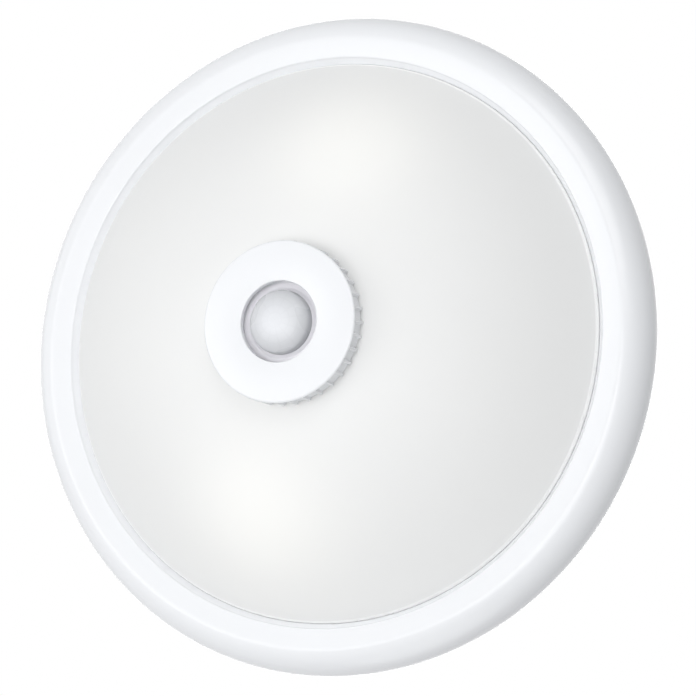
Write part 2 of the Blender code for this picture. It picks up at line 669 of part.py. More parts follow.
def make_post(white):
    post = turned("sensor_housing", hanging(post_outline()), white, POST_SEGMENTS)
    for label, angle in POT_ANGLES.items():
        x, y = on_circle(POT_CIRCLE_RADIUS, angle)
        drill(
            post, f"{label}_hole", KNOB_SHAFT_RADIUS + SEAT_GAP,
            POST_CEILING_DEPTH - CUT_OVERRUN, POST_FACE_DEPTH + CUT_OVERRUN, x, y, white, 12,
        )
    for i, angle in enumerate(POST_SCREW_ANGLES, 1):
        x, y = on_circle(POST_SCREW_CIRCLE, angle)
        drill(
            post, f"screw_hole_{i}", SCREW_HOLE_RADIUS,
            SHELF_DEPTH - CUT_OVERRUN, POST_FLANGE_DEPTH + CUT_OVERRUN, x, y, white, 8,
        )
    for i, angle in enumerate((-math.pi / 2, 0, math.pi), 1):
        cut(post, window_tool(f"post_window_{i}", angle, white))


def make_lens(milky):
    """Domed lens with a flange that the clip holds up against the housing."""
    equator = LENS_APEX_DEPTH - LENS_DOME_HEIGHT
    quarter = math.pi / 2
    inner = LENS_RADIUS - LENS_WALL
    flange_back = LENS_FLANGE_DEPTH - LENS_FLANGE_THICKNESS
    outline = [
        (inner, flange_back),
        (LENS_FLANGE_RADIUS, flange_back),
        (LENS_FLANGE_RADIUS, LENS_FLANGE_DEPTH),
        (LENS_RADIUS, LENS_FLANGE_DEPTH),
    ]
    outline += arc(0, equator, LENS_RADIUS, LENS_DOME_HEIGHT, 0, quarter, LENS_DOME_STEPS)[:-1]
    outline += [(0, LENS_APEX_DEPTH), (0, LENS_APEX_DEPTH - LENS_WALL)]
    outline += arc(0, equator, inner, LENS_DOME_HEIGHT - LENS_WALL, quarter, 0, LENS_DOME_STEPS - 1)[1:]
    turned("fresnel_lens", hanging(outline), milky, 24)
    clip_front = flange_back - SEAT_GAP
    clip_outer = LENS_SOCKET_RADIUS - SEAT_GAP
    clip = [
        (clip_outer - LENS_CLIP_WIDTH, clip_front - LENS_CLIP_THICKNESS),
        (clip_outer, clip_front - LENS_CLIP_THICKNESS),
        (clip_outer, clip_front),
        (clip_outer - LENS_CLIP_WIDTH, clip_front),
    ]
    turned("lens_clip", hanging(clip), milky, 24)


def make_board(fibreglass, steel, black, blue, amber):
    """Round board with the heat sensor, light sensor, relay and capacitors."""
    radius = POST_BORE_RADIUS - BOARD_EDGE_CLEARANCE
    rod("sensor_board", radius, -BOARD_FRONT_DEPTH, -BOARD_BACK_DEPTH, fibreglass, POST_SEGMENTS)
    front = BOARD_FRONT_DEPTH + SEAT_GAP
    back = BOARD_BACK_DEPTH - SEAT_GAP
    can = [
        (0, front),
        (PYRO_RADIUS + PYRO_FLANGE, front),
        (PYRO_RADIUS + PYRO_FLANGE, front + PYRO_FLANGE),
        (PYRO_RADIUS, front + PYRO_FLANGE),
        (PYRO_RADIUS, front + PYRO_HEIGHT),
        (0, front + PYRO_HEIGHT),
    ]
    turned("pyro_sensor", hanging(can), steel, 16)
    rod(
        "light_sensor", LIGHT_SENSOR_RADIUS, -front - LIGHT_SENSOR_HEIGHT, -front, amber, 12,
        location=(0, -LIGHT_SENSOR_OFFSET, 0),
    )
    block("relay", RELAY_SIZE, black, location=(-RELAY_OFFSET, 0, RELAY_SIZE[2] / 2 - back))
    rod(
        "smoothing_capacitor", CAPACITOR_RADIUS, -back, CAPACITOR_HEIGHT - back, blue, 16,
        location=(*CAPACITOR_PLACE, 0),
    )
    block(
        "film_capacitor", FILM_CAPACITOR_SIZE, amber,
        location=(*FILM_CAPACITOR_PLACE, FILM_CAPACITOR_SIZE[2] / 2 - back),
    )


def make_setting(label, angle, body_finish, knob_finish):
    """A trimmer on the board and the long knob that turns it, with the knob's origin on its own axis."""
    x, y = on_circle(POT_CIRCLE_RADIUS, angle)
    front = BOARD_FRONT_DEPTH + SEAT_GAP
    block(
        f"{label}_trimmer", (POT_SIDE, POT_SIDE, POT_HEIGHT), body_finish,
        location=(x, y, -front - POT_HEIGHT / 2), turn=(0, 0, angle),
    )
    foot = front + POT_HEIGHT + SEAT_GAP
    head = POST_FACE_DEPTH + SEAT_GAP
    outline = [
        (0, foot),
        (KNOB_SHAFT_RADIUS, foot),
        (KNOB_SHAFT_RADIUS, head),
        (KNOB_HEAD_RADIUS, head),
        (KNOB_HEAD_RADIUS, head + KNOB_HEAD_HEIGHT),
        (0, head + KNOB_HEAD_HEIGHT),
    ]
    knob = turned(f"{label}_knob", hanging(outline), knob_finish, 14, location=(x, y, 0))
    slot = block(
        f"{label}_knob_slot", (2 * KNOB_HEAD_RADIUS + CUT_OVERRUN, KNOB_SLOT_WIDTH, 2 * KNOB_SLOT_DEPTH),
        knob_finish, location=(x, y, -head - KNOB_HEAD_HEIGHT), turn=(0, 0, angle),
    )
    cut(knob, slot)


def make_plate(enamel):
    """Pressed steel tray that carries the lampholders and the sensor and throws the light forward."""
    flat = PLATE_FLAT_RADIUS
    edge = PAN_RADIUS - PLATE_EDGE_MARGIN
    outline = [
        (0, PLATE_BACK_DEPTH),
        (flat, PLATE_BACK_DEPTH),
        (edge, PLATE_BACK_DEPTH + PLATE_LIP_RISE),
        (edge - PLATE_THICKNESS, PLATE_FRONT_DEPTH + PLATE_LIP_RISE),
        (flat - PLATE_THICKNESS, PLATE_FRONT_DEPTH),
        (0, PLATE_FRONT_DEPTH),
    ]
    plate = turned("reflector_plate", hanging(outline), enamel, PLATE_SEGMENTS)
    low, high = PLATE_BACK_DEPTH - CUT_OVERRUN, PLATE_FRONT_DEPTH + CUT_OVERRUN
    holes = [(SCREW_HOLE_RADIUS, on_circle(PLATE_SCREW_CIRCLE, a)) for a in PLATE_SCREW_ANGLES]
    holes += [(SCREW_HOLE_RADIUS, on_circle(POST_SCREW_CIRCLE, a)) for a in POST_SCREW_ANGLES]
    holes += [(SLOT_ACCESS_RADIUS, (0, y)) for y in (SLOT_PLACE, -SLOT_PLACE)]
    holes += [(CABLE_HOLE_RADIUS + GROMMET_CABLE_MARGIN + SEAT_GAP, CABLE_PLACE)]
    holes += [(RIVET_SHANK_RADIUS + SCREW_HOLE_CLEARANCE, spot) for spot in rivet_places()]
    for i, (radius, (x, y)) in enumerate(holes, 1):
        drill(plate, f"hole_{i}", radius, low, high, x, y, enamel, 16 if radius > CONTACT_RADIUS else 8)


def make_screw(name, x, y, seat_depth, tail_depth, steel, turn=0.0):
    """Pan-head screw driven up from the room side, its head on the seat."""
    taper = tail_depth + SCREW_TIP_LENGTH
    outline = [
        (0, seat_depth + SCREW_HEAD_HEIGHT),
        (SCREW_HEAD_RADIUS - SCREW_SLOT_WIDTH, seat_depth + SCREW_HEAD_HEIGHT),
        (SCREW_HEAD_RADIUS, seat_depth + SCREW_HEAD_HEIGHT - SCREW_SLOT_WIDTH),
        (SCREW_HEAD_RADIUS, seat_depth),
        (SCREW_SHANK_RADIUS, seat_depth),
        (SCREW_SHANK_RADIUS, taper),
        (0, tail_depth),
    ]
    screw = turned(name, hanging(outline), steel, 10, location=(x, y, 0))
    slot = block(
        f"{name}_slot", (2 * SCREW_HEAD_RADIUS + CUT_OVERRUN, SCREW_SLOT_WIDTH, 2 * SCREW_SLOT_DEPTH), steel,
        location=(x, y, -seat_depth - SCREW_HEAD_HEIGHT), turn=(0, 0, turn),
    )
    cut(screw, slot)


def make_fixings(steel):
    for i, angle in enumerate(PLATE_SCREW_ANGLES, 1):
        x, y = on_circle(PLATE_SCREW_CIRCLE, angle)
        make_screw(f"plate_screw_{i}", x, y, SHELF_DEPTH, PLATE_BOSS_FLOOR + SEAT_GAP, steel, angle)
    for i, angle in enumerate(POST_SCREW_ANGLES, 1):
        x, y = on_circle(POST_SCREW_CIRCLE, angle)
        seat = POST_FLANGE_DEPTH + SEAT_GAP
        make_screw(f"housing_screw_{i}", x, y, seat, PLATE_BACK_DEPTH - POST_SCREW_TAIL, steel, angle)


def station_sides():
    """Each lamp station as (number, side), side -1 or 1 along X."""
    return ((1, -1), (2, 1))


def rivet_places():
    """Where the rivets of both brackets stand on the plate."""
    foot_middle = LAMP_BACK + SEAT_GAP + BRACKET_THICKNESS - BRACKET_FOOT_LENGTH / 2
    places = []
    for _, side in station_sides():
        for step in (-RIVET_SPACING / 2, RIVET_SPACING / 2):
            places.append((side * LAMP_SIDE + step, side * foot_middle))
    return places


def make_rivets(steel):
    """Rivets that pass through each bracket's foot and the plate."""
    seat = SHELF_DEPTH + BRACKET_THICKNESS + SEAT_GAP
    tail = PLATE_BACK_DEPTH - SEAT_GAP
    outline = [
        (0, seat + RIVET_HEAD_HEIGHT),
        (RIVET_HEAD_RADIUS - RIVET_HEAD_HEIGHT, seat + RIVET_HEAD_HEIGHT),
        (RIVET_HEAD_RADIUS, seat),
        (RIVET_SHANK_RADIUS, seat),
        (RIVET_SHANK_RADIUS, tail),
        (RIVET_TAIL_RADIUS, tail),
        (RIVET_TAIL_RADIUS, tail - RIVET_TAIL_HEIGHT),
        (0, tail - RIVET_TAIL_HEIGHT),
    ]
    for i, (x, y) in enumerate(rivet_places(), 1):
        turned(f"bracket_rivet_{i}", hanging(outline), steel, 8, location=(x, y, 0))


def make_bracket(number, station, steel):
    """L-shaped bracket with its foot under the lampholder. Its Z runs along the lamp, its Y into the room."""
    back = -SEAT_GAP - BRACKET_THICKNESS
    foot_height = SHELF_DEPTH - LAMP_AXIS_DEPTH
    top = HOLDER_BACK_RADIUS - BRACKET_TOP_MARGIN
    foot_end = back + BRACKET_FOOT_LENGTH
    outline = [
        (back, foot_height),
        (foot_end, foot_height),
        (foot_end, foot_height + BRACKET_THICKNESS),
        (-SEAT_GAP, foot_height + BRACKET_THICKNESS),
        (-SEAT_GAP, top),
        (back, top),
    ]
    bm = bmesh.new()
    half = BRACKET_WIDTH / 2
    rows = [[bm.verts.new((x, y, z)) for z, y in outline] for x in (-half, half)]
    for row in rows:
        bm.faces.new(row)
    for i in range(len(outline)):
        j = (i + 1) % len(outline)
        bm.faces.new((rows[0][i], rows[0][j], rows[1][j], rows[1][i]))
    bracket = place(f"holder_bracket_{number}", bm, steel, parent=station)
    hole = rod(
        f"bracket_{number}_screw_hole", SCREW_HOLE_RADIUS, back - CUT_OVERRUN, CUT_OVERRUN, steel, 10,
        parent=station,
    )
    cut(bracket, hole)
    foot_middle = back + BRACKET_FOOT_LENGTH / 2
    for step, spot in enumerate((-RIVET_SPACING / 2, RIVET_SPACING / 2), 1):
        hole = rod(
            f"bracket_{number}_rivet_hole_{step}", RIVET_SHANK_RADIUS + SCREW_HOLE_CLEARANCE,
            -BRACKET_THICKNESS - CUT_OVERRUN, BRACKET_THICKNESS + CUT_OVERRUN, steel, 8,
            parent=station, location=(spot, foot_height, foot_middle), turn=(math.pi / 2, 0, 0),
        )
        cut(bracket, hole)


def make_holder(number, station, thermoset, brass, steel):
    """Lampholder with its threaded shell, centre contact and the screw that holds it to the bracket."""
    outline = [
        (SCREW_HOLE_RADIUS, 0),
        (HOLDER_BACK_RADIUS, 0),
        (HOLDER_BACK_RADIUS, HOLDER_BODY_LENGTH),
        (HOLDER_MOUTH_RADIUS, HOLDER_BODY_LENGTH + HOLDER_TAPER_LENGTH),
        (HOLDER_MOUTH_RADIUS, HOLDER_LENGTH),
        (HOLDER_BORE_RADIUS, HOLDER_LENGTH),
        (HOLDER_BORE_RADIUS, HOLDER_BACK_THICKNESS),
        (0, HOLDER_BACK_THICKNESS),
        (0, HOLDER_SCREW_DEPTH),
        (SCREW_HOLE_RADIUS, HOLDER_SCREW_DEPTH),
    ]
    turned(f"lampholder_{number}", outline, thermoset, 20, parent=station)
    shell_outer = HOLDER_BORE_RADIUS - SEAT_GAP
    shell = [
        (shell_outer - SHELL_THICKNESS, SHELL_START),
        (shell_outer, SHELL_START),
        (shell_outer, SHELL_END),
        (shell_outer - SHELL_THICKNESS, SHELL_END),
    ]
    turned(f"holder_shell_{number}", shell, brass, 20, parent=station)
    contact = HOLDER_BACK_THICKNESS + SEAT_GAP
    rod(
        f"holder_contact_{number}", CONTACT_RADIUS, contact, contact + CONTACT_THICKNESS, brass, 12,
        parent=station,
    )
    seat = -2 * SEAT_GAP - BRACKET_THICKNESS
    tip = HOLDER_SCREW_DEPTH - SEAT_GAP
    screw = [
        (0, seat - SCREW_HEAD_HEIGHT),
        (SCREW_HEAD_RADIUS, seat - SCREW_HEAD_HEIGHT),
        (SCREW_HEAD_RADIUS, seat),
        (SCREW_SHANK_RADIUS, seat),
        (SCREW_SHANK_RADIUS, tip),
        (0, tip),
    ]
    turned(f"holder_screw_{number}", screw, steel, 10, parent=station)


def make_bulb(number, station, finishes):
    """Screw-cap bulb: solder contact, insulator, threaded cap and frosted globe, in order along the lamp."""
    contact = [
        (0, BULB_START),
        (TIP_RADIUS / 2, BULB_START),
        (TIP_RADIUS, BULB_START + TIP_THICKNESS / 2),
        (TIP_RADIUS, BULB_START + TIP_THICKNESS),
        (0, BULB_START + TIP_THICKNESS),
    ]
    turned(f"bulb_contact_{number}", contact, finishes["solder"], 12, parent=station)
    cone = [
        (0, INSULATOR_START),
        (TIP_RADIUS, INSULATOR_START),
        (INSULATOR_RADIUS, INSULATOR_START + INSULATOR_HEIGHT),
        (0, INSULATOR_START + INSULATOR_HEIGHT),
    ]
    turned(f"bulb_insulator_{number}", cone, finishes["black"], 12, parent=station)
    root = CAP_RADIUS - CAP_THREAD_HEIGHT
    outline = [(TIP_RADIUS, CAP_START), (root, CAP_START)]
    for turn in range(CAP_THREAD_TURNS):
        outline.append((CAP_RADIUS, CAP_START + (turn + 0.5) * CAP_THREAD_PITCH))
        outline.append((root, CAP_START + (turn + 1) * CAP_THREAD_PITCH))
    bore = root - CAP_WALL + CAP_THREAD_HEIGHT
    throat = BULB_NECK_RADIUS + SEAT_GAP
    outline += [(root, CAP_END), (throat, CAP_END)]
    outline += [(throat, CAP_START + bore - BULB_NECK_RADIUS + CAP_WALL), (TIP_RADIUS, CAP_START + CAP_WALL)]
    turned(f"bulb_cap_{number}", outline, finishes["aluminium"], LAMP_SEGMENTS, parent=station)
    neck = CAP_END - BULB_NECK_LENGTH
    glass = [(BULB_NECK_RADIUS, neck), (BULB_NECK_RADIUS, CAP_END + SEAT_GAP)]
    glass += globe_points(GLOBE_MIDDLE, BULB_GLOBE_RADIUS, BULB_NECK_RADIUS, BULB_GLOBE_STEPS)
    inner = globe_points(
        GLOBE_MIDDLE, BULB_GLOBE_RADIUS - BULB_GLASS_WALL, BULB_NECK_RADIUS - BULB_GLASS_WALL, BULB_GLOBE_STEPS
    )
    glass += inner[::-1]
    glass += [(BULB_NECK_RADIUS - BULB_GLASS_WALL, neck)]
    turned(f"bulb_glass_{number}", glass, finishes["frosted"], LAMP_SEGMENTS, parent=station)


def globe_points(middle, radius, neck_radius, steps):
    """Points from where the neck meets a globe round to the globe's top."""
    start = -math.acos(neck_radius / radius)
    return arc(0, middle, radius, radius, start, math.pi / 2, steps)[:-1] + [(0, middle + radius)]


def make_station(number, side, finishes):
    """One lamp with its holder and bracket, built along its own Z and laid flat under the plate."""
    station = empty(
        f"lamp_station_{number}",
        (side * LAMP_SIDE, side * LAMP_BACK, -LAMP_AXIS_DEPTH),
        (-math.pi / 2, 0, 0 if side < 0 else math.pi),
    )
    make_bracket(number, station, finishes["zinc"])
    make_holder(number, station, finishes["thermoset"], finishes["brass"], finishes["zinc"])
    make_bulb(number, station, finishes)


def make_terminal_block(nylon, steel):
    """Three-pole block: a well and a screw on top of each pole and a wire hole right through it."""
    height = BLOCK_SIZE[2]
    middle = SHELF_DEPTH + height / 2
    front = SHELF_DEPTH + height
    body = block("terminal_block", BLOCK_SIZE, nylon, location=(0, BLOCK_PLACE, -middle))
    for i in range(3):
        x = (i - 1) * BLOCK_POLE_PITCH
        drill(
            body, f"well_{i + 1}", BLOCK_WELL_RADIUS, front - BLOCK_WELL_DEPTH, front + CUT_OVERRUN,
            x, BLOCK_PLACE, nylon, 10,
        )
        reach = BLOCK_SIZE[1] / 2 + CUT_OVERRUN
        wire_hole = rod(
            f"terminal_block_wire_hole_{i + 1}", BLOCK_WIRE_RADIUS, -reach, reach, nylon, 8,
            location=(x, BLOCK_PLACE, -SHELF_DEPTH - BLOCK_WIRE_HEIGHT), turn=(math.pi / 2, 0, 0),
        )
        cut(body, wire_hole)
        floor = front - BLOCK_WELL_DEPTH + SEAT_GAP
        rod(
            f"terminal_screw_{i + 1}", BLOCK_SCREW_RADIUS, -floor - BLOCK_SCREW_HEIGHT, -floor, steel, 8,
            location=(x, BLOCK_PLACE, 0),
        )


def lamp_route(side):
    """Middle line of a pair of wires from a lampholder's flank through the housing's wall to the board."""
    flank = LAMP_SIDE - HOLDER_BACK_RADIUS - 2 * SEAT_GAP
    start = LAMP_BACK - WIRE_START_INSET
    mouth = POST_BODY_RADIUS + WIRE_SETTLE
    points = []
    for across, along, down in WIRE_REACH_SHARES:
        x = flank + (mouth - flank) * across
        y = start * (1 - along)
        depth = LAMP_AXIS_DEPTH + (WIRE_WINDOW_DEPTH - LAMP_AXIS_DEPTH) * down
        points.append(Vector((side * x, side * y, -depth)))
    return points + post_route(0 if side > 0 else math.pi)


def post_route(angle):
    """Middle line in through the housing's wall at an angle and down to the back of the board."""
    end = BOARD_BACK_DEPTH - SEAT_GAP
    stations = [
        (POST_BODY_RADIUS + WIRE_SETTLE, WIRE_WINDOW_DEPTH),
        (POST_BODY_RADIUS - POST_WALL / 2, WIRE_WINDOW_DEPTH),
        (WIRE_TAIL_RADIUS + WIRE_TURN, WIRE_WINDOW_DEPTH + WIRE_TURN),
        (WIRE_TAIL_RADIUS, WIRE_WINDOW_DEPTH + WIRE_TURN + WIRE_SETTLE),
        (WIRE_TAIL_RADIUS, (WIRE_WINDOW_DEPTH + end) / 2),
        (WIRE_TAIL_RADIUS, end),
    ]
    return [Vector((*on_circle(radius, angle), -depth)) for radius, depth in stations]


def in_lane(points, offset):
    """Moves a route sideways, square to its direction in plan. The first stretch stays straight."""
    moved = []
    square = Vector((0, 0, 0))
    for i, point in enumerate(points):
        after = point if i == 1 else points[min(i + 1, len(points) - 1)]
        ahead = after - points[max(i - 1, 0)]
        if math.hypot(ahead.x, ahead.y) > SEAT_GAP:
            square = Vector((-ahead.y, ahead.x, 0)).normalized()
        moved.append(point + square * offset)
    return moved


def block_route(lane):
    """From a pole of the terminal block to the housing's wall and on to the board."""
    edge = BLOCK_PLACE + BLOCK_SIZE[1] / 2
    height = -SHELF_DEPTH - BLOCK_WIRE_HEIGHT
    inner = in_lane(post_route(-math.pi / 2), lane)
    pole = math.copysign(BLOCK_POLE_PITCH, inner[0].x)
    middle = (edge + WIRE_TURN + inner[0].y) / 2
    return [
        Vector((pole, edge - BLOCK_WIRE_GRIP, height)),
        Vector((pole, edge + WIRE_TURN, height)),
        Vector(((pole + inner[0].x) / 2, middle, (height - WIRE_WINDOW_DEPTH) / 2)),
        *inner,
    ]


def smooth_route(points, step):
    """Points evenly spaced along a Catmull-Rom curve through the given ones."""
    ends = [2 * points[0] - points[1], *points, 2 * points[-1] - points[-2]]
    fine = [points[0]]
    for a, b, c, d in zip(ends, ends[1:], ends[2:], ends[3:]):
        for i in range(1, 9):
            t = i / 8
            square = (2 * a - 5 * b + 4 * c - d) * t**2
            cube = (3 * b - a - 3 * c + d) * t**3
            fine.append((2 * b + (c - a) * t + square + cube) / 2)
    lengths = [0.0]
    for first, second in zip(fine, fine[1:]):
        lengths.append(lengths[-1] + (second - first).length)
    count = max(3, round(lengths[-1] / step))
    spaced = []
    k = 0
    for i in range(count + 1):
        target = lengths[-1] * i / count
        while k < len(lengths) - 2 and lengths[k + 1] < target:
            k += 1
        share = (target - lengths[k]) / (lengths[k + 1] - lengths[k])
        spaced.append(fine[k].lerp(fine[k + 1], share))
    return spaced


def make_wire(name, route, material):
    points = smooth_route(route, WIRE_STEP)
    curve = bpy.data.curves.new(name, "CURVE")
    curve.dimensions = "3D"
    spline = curve.splines.new("POLY")
    spline.points.add(len(points) - 1)
    for target, point in zip(spline.points, points):
        target.co = (*point, 1.0)
    curve.bevel_depth = WIRE_RADIUS
    curve.bevel_resolution = 2
    curve.use_fill_caps = True
    curve.materials.append(material)
    bpy.context.scene.collection.objects.link(bpy.data.objects.new(name, curve))


def main():
    clear_scene()
    white = finish("white_moulded_plastic", (0.86, 0.87, 0.89), 0.28)
    opal = finish("opal_satin_glass", (0.84, 0.85, 0.83), 0.45)
    milky = finish("milky_lens", (0.74, 0.74, 0.78), 0.35)
    rubber = finish("grey_rubber", (0.22, 0.22, 0.23), 0.8)
    enamel = finish("white_enamel", (0.82, 0.82, 0.80), 0.35)
    steel = finish("zinc_plated_steel", (0.62, 0.63, 0.65), 0.35, 1.0)
    black = finish("black_plastic", (0.03, 0.03, 0.03), 0.45)
    amber = finish("amber_plastic", (0.55, 0.27, 0.06), 0.5)
    blue = finish("blue_plastic", (0.05, 0.13, 0.42), 0.4)
    brown = finish("brown_insulation", (0.20, 0.09, 0.04), 0.5)
    fibreglass = finish("green_fibreglass", (0.05, 0.24, 0.12), 0.4)
    nylon = finish("natural_nylon", (0.78, 0.78, 0.74), 0.5)
    lamp_finishes = {
        "zinc": steel,
        "thermoset": finish("white_thermoset", (0.84, 0.83, 0.79), 0.2),
        "brass": finish("brass", (0.72, 0.53, 0.24), 0.3, 1.0),
        "frosted": finish("frosted_bulb_glass", (0.90, 0.88, 0.82), 0.4),
        "aluminium": finish("spun_aluminium", (0.70, 0.71, 0.72), 0.3, 1.0),
        "black": black,
        "solder": finish("solder", (0.60, 0.60, 0.60), 0.4, 1.0),
    }
    make_base_pan(white)
    make_grommet(rubber)
    make_gasket(rubber)
    make_plate(enamel)
    make_fixings(steel)
    for number, side in station_sides():
        make_station(number, side, lamp_finishes)
    make_rivets(steel)
    make_terminal_block(nylon, steel)
    make_post(white)
    make_board(fibreglass, steel, black, blue, amber)
    for label, angle in POT_ANGLES.items():
        make_setting(label, angle, blue, amber)
    make_lens(milky)
    for kind, lane, colour in (("live", WIRE_LANE, brown), ("neutral", -WIRE_LANE, blue)):
        for number, side in station_sides():
            make_wire(f"wire_{kind}_{number}", in_lane(lamp_route(side), lane), colour)
        make_wire(f"wire_{kind}_in", block_route(lane), colour)
    carrier = empty("shade_carrier")
    make_shade(opal, carrier)
    make_washer(rubber, carrier)
    make_nut(white, carrier)


main()
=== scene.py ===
"""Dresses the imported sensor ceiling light: fine shapes, finishes, a pale studio and the camera."""

import math

import bmesh
import bpy
from bpy.props import FloatProperty, FloatVectorProperty, IntProperty, PointerProperty
from mathutils import Euler, Matrix, Vector


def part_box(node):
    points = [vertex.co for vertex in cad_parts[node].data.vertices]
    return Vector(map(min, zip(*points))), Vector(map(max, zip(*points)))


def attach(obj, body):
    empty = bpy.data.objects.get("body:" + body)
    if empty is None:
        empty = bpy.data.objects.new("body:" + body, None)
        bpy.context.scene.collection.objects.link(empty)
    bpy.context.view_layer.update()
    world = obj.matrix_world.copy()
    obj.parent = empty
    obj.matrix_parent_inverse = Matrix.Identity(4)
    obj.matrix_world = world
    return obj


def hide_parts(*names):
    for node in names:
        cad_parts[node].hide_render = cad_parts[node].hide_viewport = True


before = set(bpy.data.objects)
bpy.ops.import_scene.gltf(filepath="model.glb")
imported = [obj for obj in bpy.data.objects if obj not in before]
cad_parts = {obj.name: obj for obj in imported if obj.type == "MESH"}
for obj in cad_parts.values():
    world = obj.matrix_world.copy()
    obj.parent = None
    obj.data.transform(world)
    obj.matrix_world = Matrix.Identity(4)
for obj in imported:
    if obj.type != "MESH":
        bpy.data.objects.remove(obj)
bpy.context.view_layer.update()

bl_info = {
    "name": "Sensor ceiling light",
    "version": (1, 0, 0),
    "blender": (4, 5, 0),
    "location": "3D View > Sidebar > Ceiling light",
    "description": "Makes the pieces, finishes and studio of a round ceiling light with a motion sensor",
    "category": "Object",
}

HALF_TURN = math.pi
QUARTER_TURN = math.pi / 2
FULL_TURN = 2 * math.pi
MILLIMETRE = 0.001
WHITE = (1.0, 1.0, 1.0)
BLACK = (0.0, 0.0, 0.0)

# Shaping: what counts as on the axis, as one point and as straight, and how an edge is kept sharp
NEAR_AXIS = MILLIMETRE / 100
ON_AXIS = MILLIMETRE / 1000
SAME_POINT = MILLIMETRE / 500
NEARLY_STRAIGHT = math.radians(158)
CORNER_SHARE = 0.45
SHARP_EDGE = 38


def length(default, note):
    return FloatProperty(description=note, default=default, min=0.0, unit="LENGTH", precision=5)


def angle(default, note):
    return FloatProperty(description=note, default=math.radians(default), subtype="ANGLE")


def amount(default, note, low=0.0, high=1000.0):
    return FloatProperty(description=note, default=default, min=low, max=high)


def count(default, note):
    return IntProperty(description=note, default=default, min=1)


def colour(default, note):
    return FloatVectorProperty(description=note, default=default, size=3, min=0.0, max=1.0, subtype="COLOR")


def titled(group):
    """Names each property of a group after its key, so that lip_round is shown as Lip round."""
    for key, held in group.__annotations__.items():
        held.keywords["name"] = key.replace("_", " ").capitalize()
    return group


# Sizes and colours

@titled
class PanSizes(bpy.types.PropertyGroup):
    """Base pan with its rolled rim and the groove for the glass."""

    outer_radius: length(0.15, "Radius of the rim at its widest")
    roll_radius: length(0.0135, "Radius of the rolled rim's section")
    widest_depth: length(0.017, "Depth below the ceiling where the rim is widest")
    wall: length(0.0025, "Wall thickness of the moulding")
    foot_width: length(0.0024, "Width of the rim's foot on the ceiling")
    foot_inset: length(0.0077, "How far the foot stands inside the widest circle")
    band_width: length(0.0214, "From the widest circle in to the groove")
    ledge_width: length(0.0008, "Width of the sloped ledge at the groove's edge")
    ledge_rise: length(0.0011, "How much the ledge slopes")
    ledge_drop: length(0.0041, "Ledge's depth behind the rim's crest")
    lip_slope: length(0.0003, "How much the lip leans outwards")
    lip_round: length(0.0009, "Rounding at the lip's crest")
    lip_fall: length(0.0011, "How far the crown falls back towards the lip")
    ledge_gap: length(0.0001, "Air between the glass and the ledge's edge")
    ledge_fall: length(0.0012, "How far the ledge falls towards the glass")
    bead: length(0.0008, "Thickness of the bead behind the widest part of the glass")
    channel_sink: length(0.0095, "Depth of the groove's floor behind the crest")
    channel_width: length(0.0101, "Width of the groove's floor")
    crown_arc_end: angle(77, "Where the roll meets the crown")
    foot_arc_end: angle(-62, "Where the rim's outside meets its foot")
    hollow_arc_end: angle(-45, "Where the rim's inside meets its foot")
    edge_round: length(0.0004, "Rounding of the moulded corners")
    plate_boss_height: length(0.0024, "Height of the three bosses under the plate")
    plate_boss_radius: length(0.004, "Radius of the three bosses")
    boss_floor: length(0.0012, "Solid floor left under each screw")
    slot_inset: length(0.0265, "Fixing slots' distance inside the floor's edge")
    slot_width: length(0.0052, "Width of a fixing slot")
    slot_length: length(0.012, "End-to-end length of a fixing slot")
    cable_inset: length(0.0277, "Cable hole's distance inside the floor's edge")
    cable_angle: angle(-69.4, "Direction of the cable hole from the centre")
    cable_radius: length(0.008, "Radius of the cable hole")
    grommet_bore: length(0.005, "Radius of the grommet's bore")
    grommet_lip: length(0.0015, "Height and width of the grommet's lip")
    seat_gap: length(0.0003, "Air left between pieces that touch")
    segments: count(224, "Steps round the largest circles")


@titled
class ShadeSizes(bpy.types.PropertyGroup):
    """Opal glass dome, its gasket and the washer on it."""

    edge_clearance: length(0.0014, "Air between the glass and the groove's wall")
    thickness: length(0.003, "Thickness of the glass")
    collar_height: length(0.0038, "Straight part of the edge before the dome")
    waist: length(0.001, "How far the edge of the glass draws in behind its widest part")
    waist_height: length(0.0014, "Height of the drawn-in part")
    hole_clearance: length(0.0012, "Air between the hole and the housing's thread")
    seat_share: amount(0.891, "Dome's depth at the nut, as a share of the nut face's depth", 0.5, 1.0)
    gasket_thickness: length(0.0012, "Thickness of the gasket under the glass")
    gasket_inner: length(0.0016, "Gasket's reach inside the glass edge")
    gasket_outer: length(0.0004, "Air between the gasket and the groove's wall")
    washer_thickness: length(0.0015, "Thickness of the washer under the nut")
    washer_width: length(0.0036, "Width of the washer's ring")
    washer_clearance: length(0.0006, "Air between the washer and the thread")
    arc_steps: count(40, "Steps from the edge of the dome to its hole")


@titled
class NutSizes(bpy.types.PropertyGroup):
    """Retaining nut with a knurled side."""

    face_depth: length(0.086, "Depth of the nut's face below the ceiling")
    wall: length(0.0058, "Wall between the bore and the tips of the knurl")
    rib_depth: length(0.0008, "Depth of the knurl")
    rib_cut: length(0.0012, "Depth of the hollows between the ribs")
    rib_count: count(36, "Ribs round the side")
    rib_share: amount(0.26, "Width of a rib as a share of the pitch", 0.05, 0.95)
    disc: length(0.0025, "Thickness of the front disc")
    edge_round: length(0.0012, "Rounding of the front edge")
    foot_chamfer: length(0.0004, "Chamfer at the foot of the side")
    skirt_wall: length(0.0009, "Foot's inset from the knurl's root")
    thread_clearance: length(0.0004, "Air between the bore and the thread")
    window_margin: length(0.0039, "From the lens to the edge of its window")
    window_chamfer: length(0.0005, "Chamfer round the window")


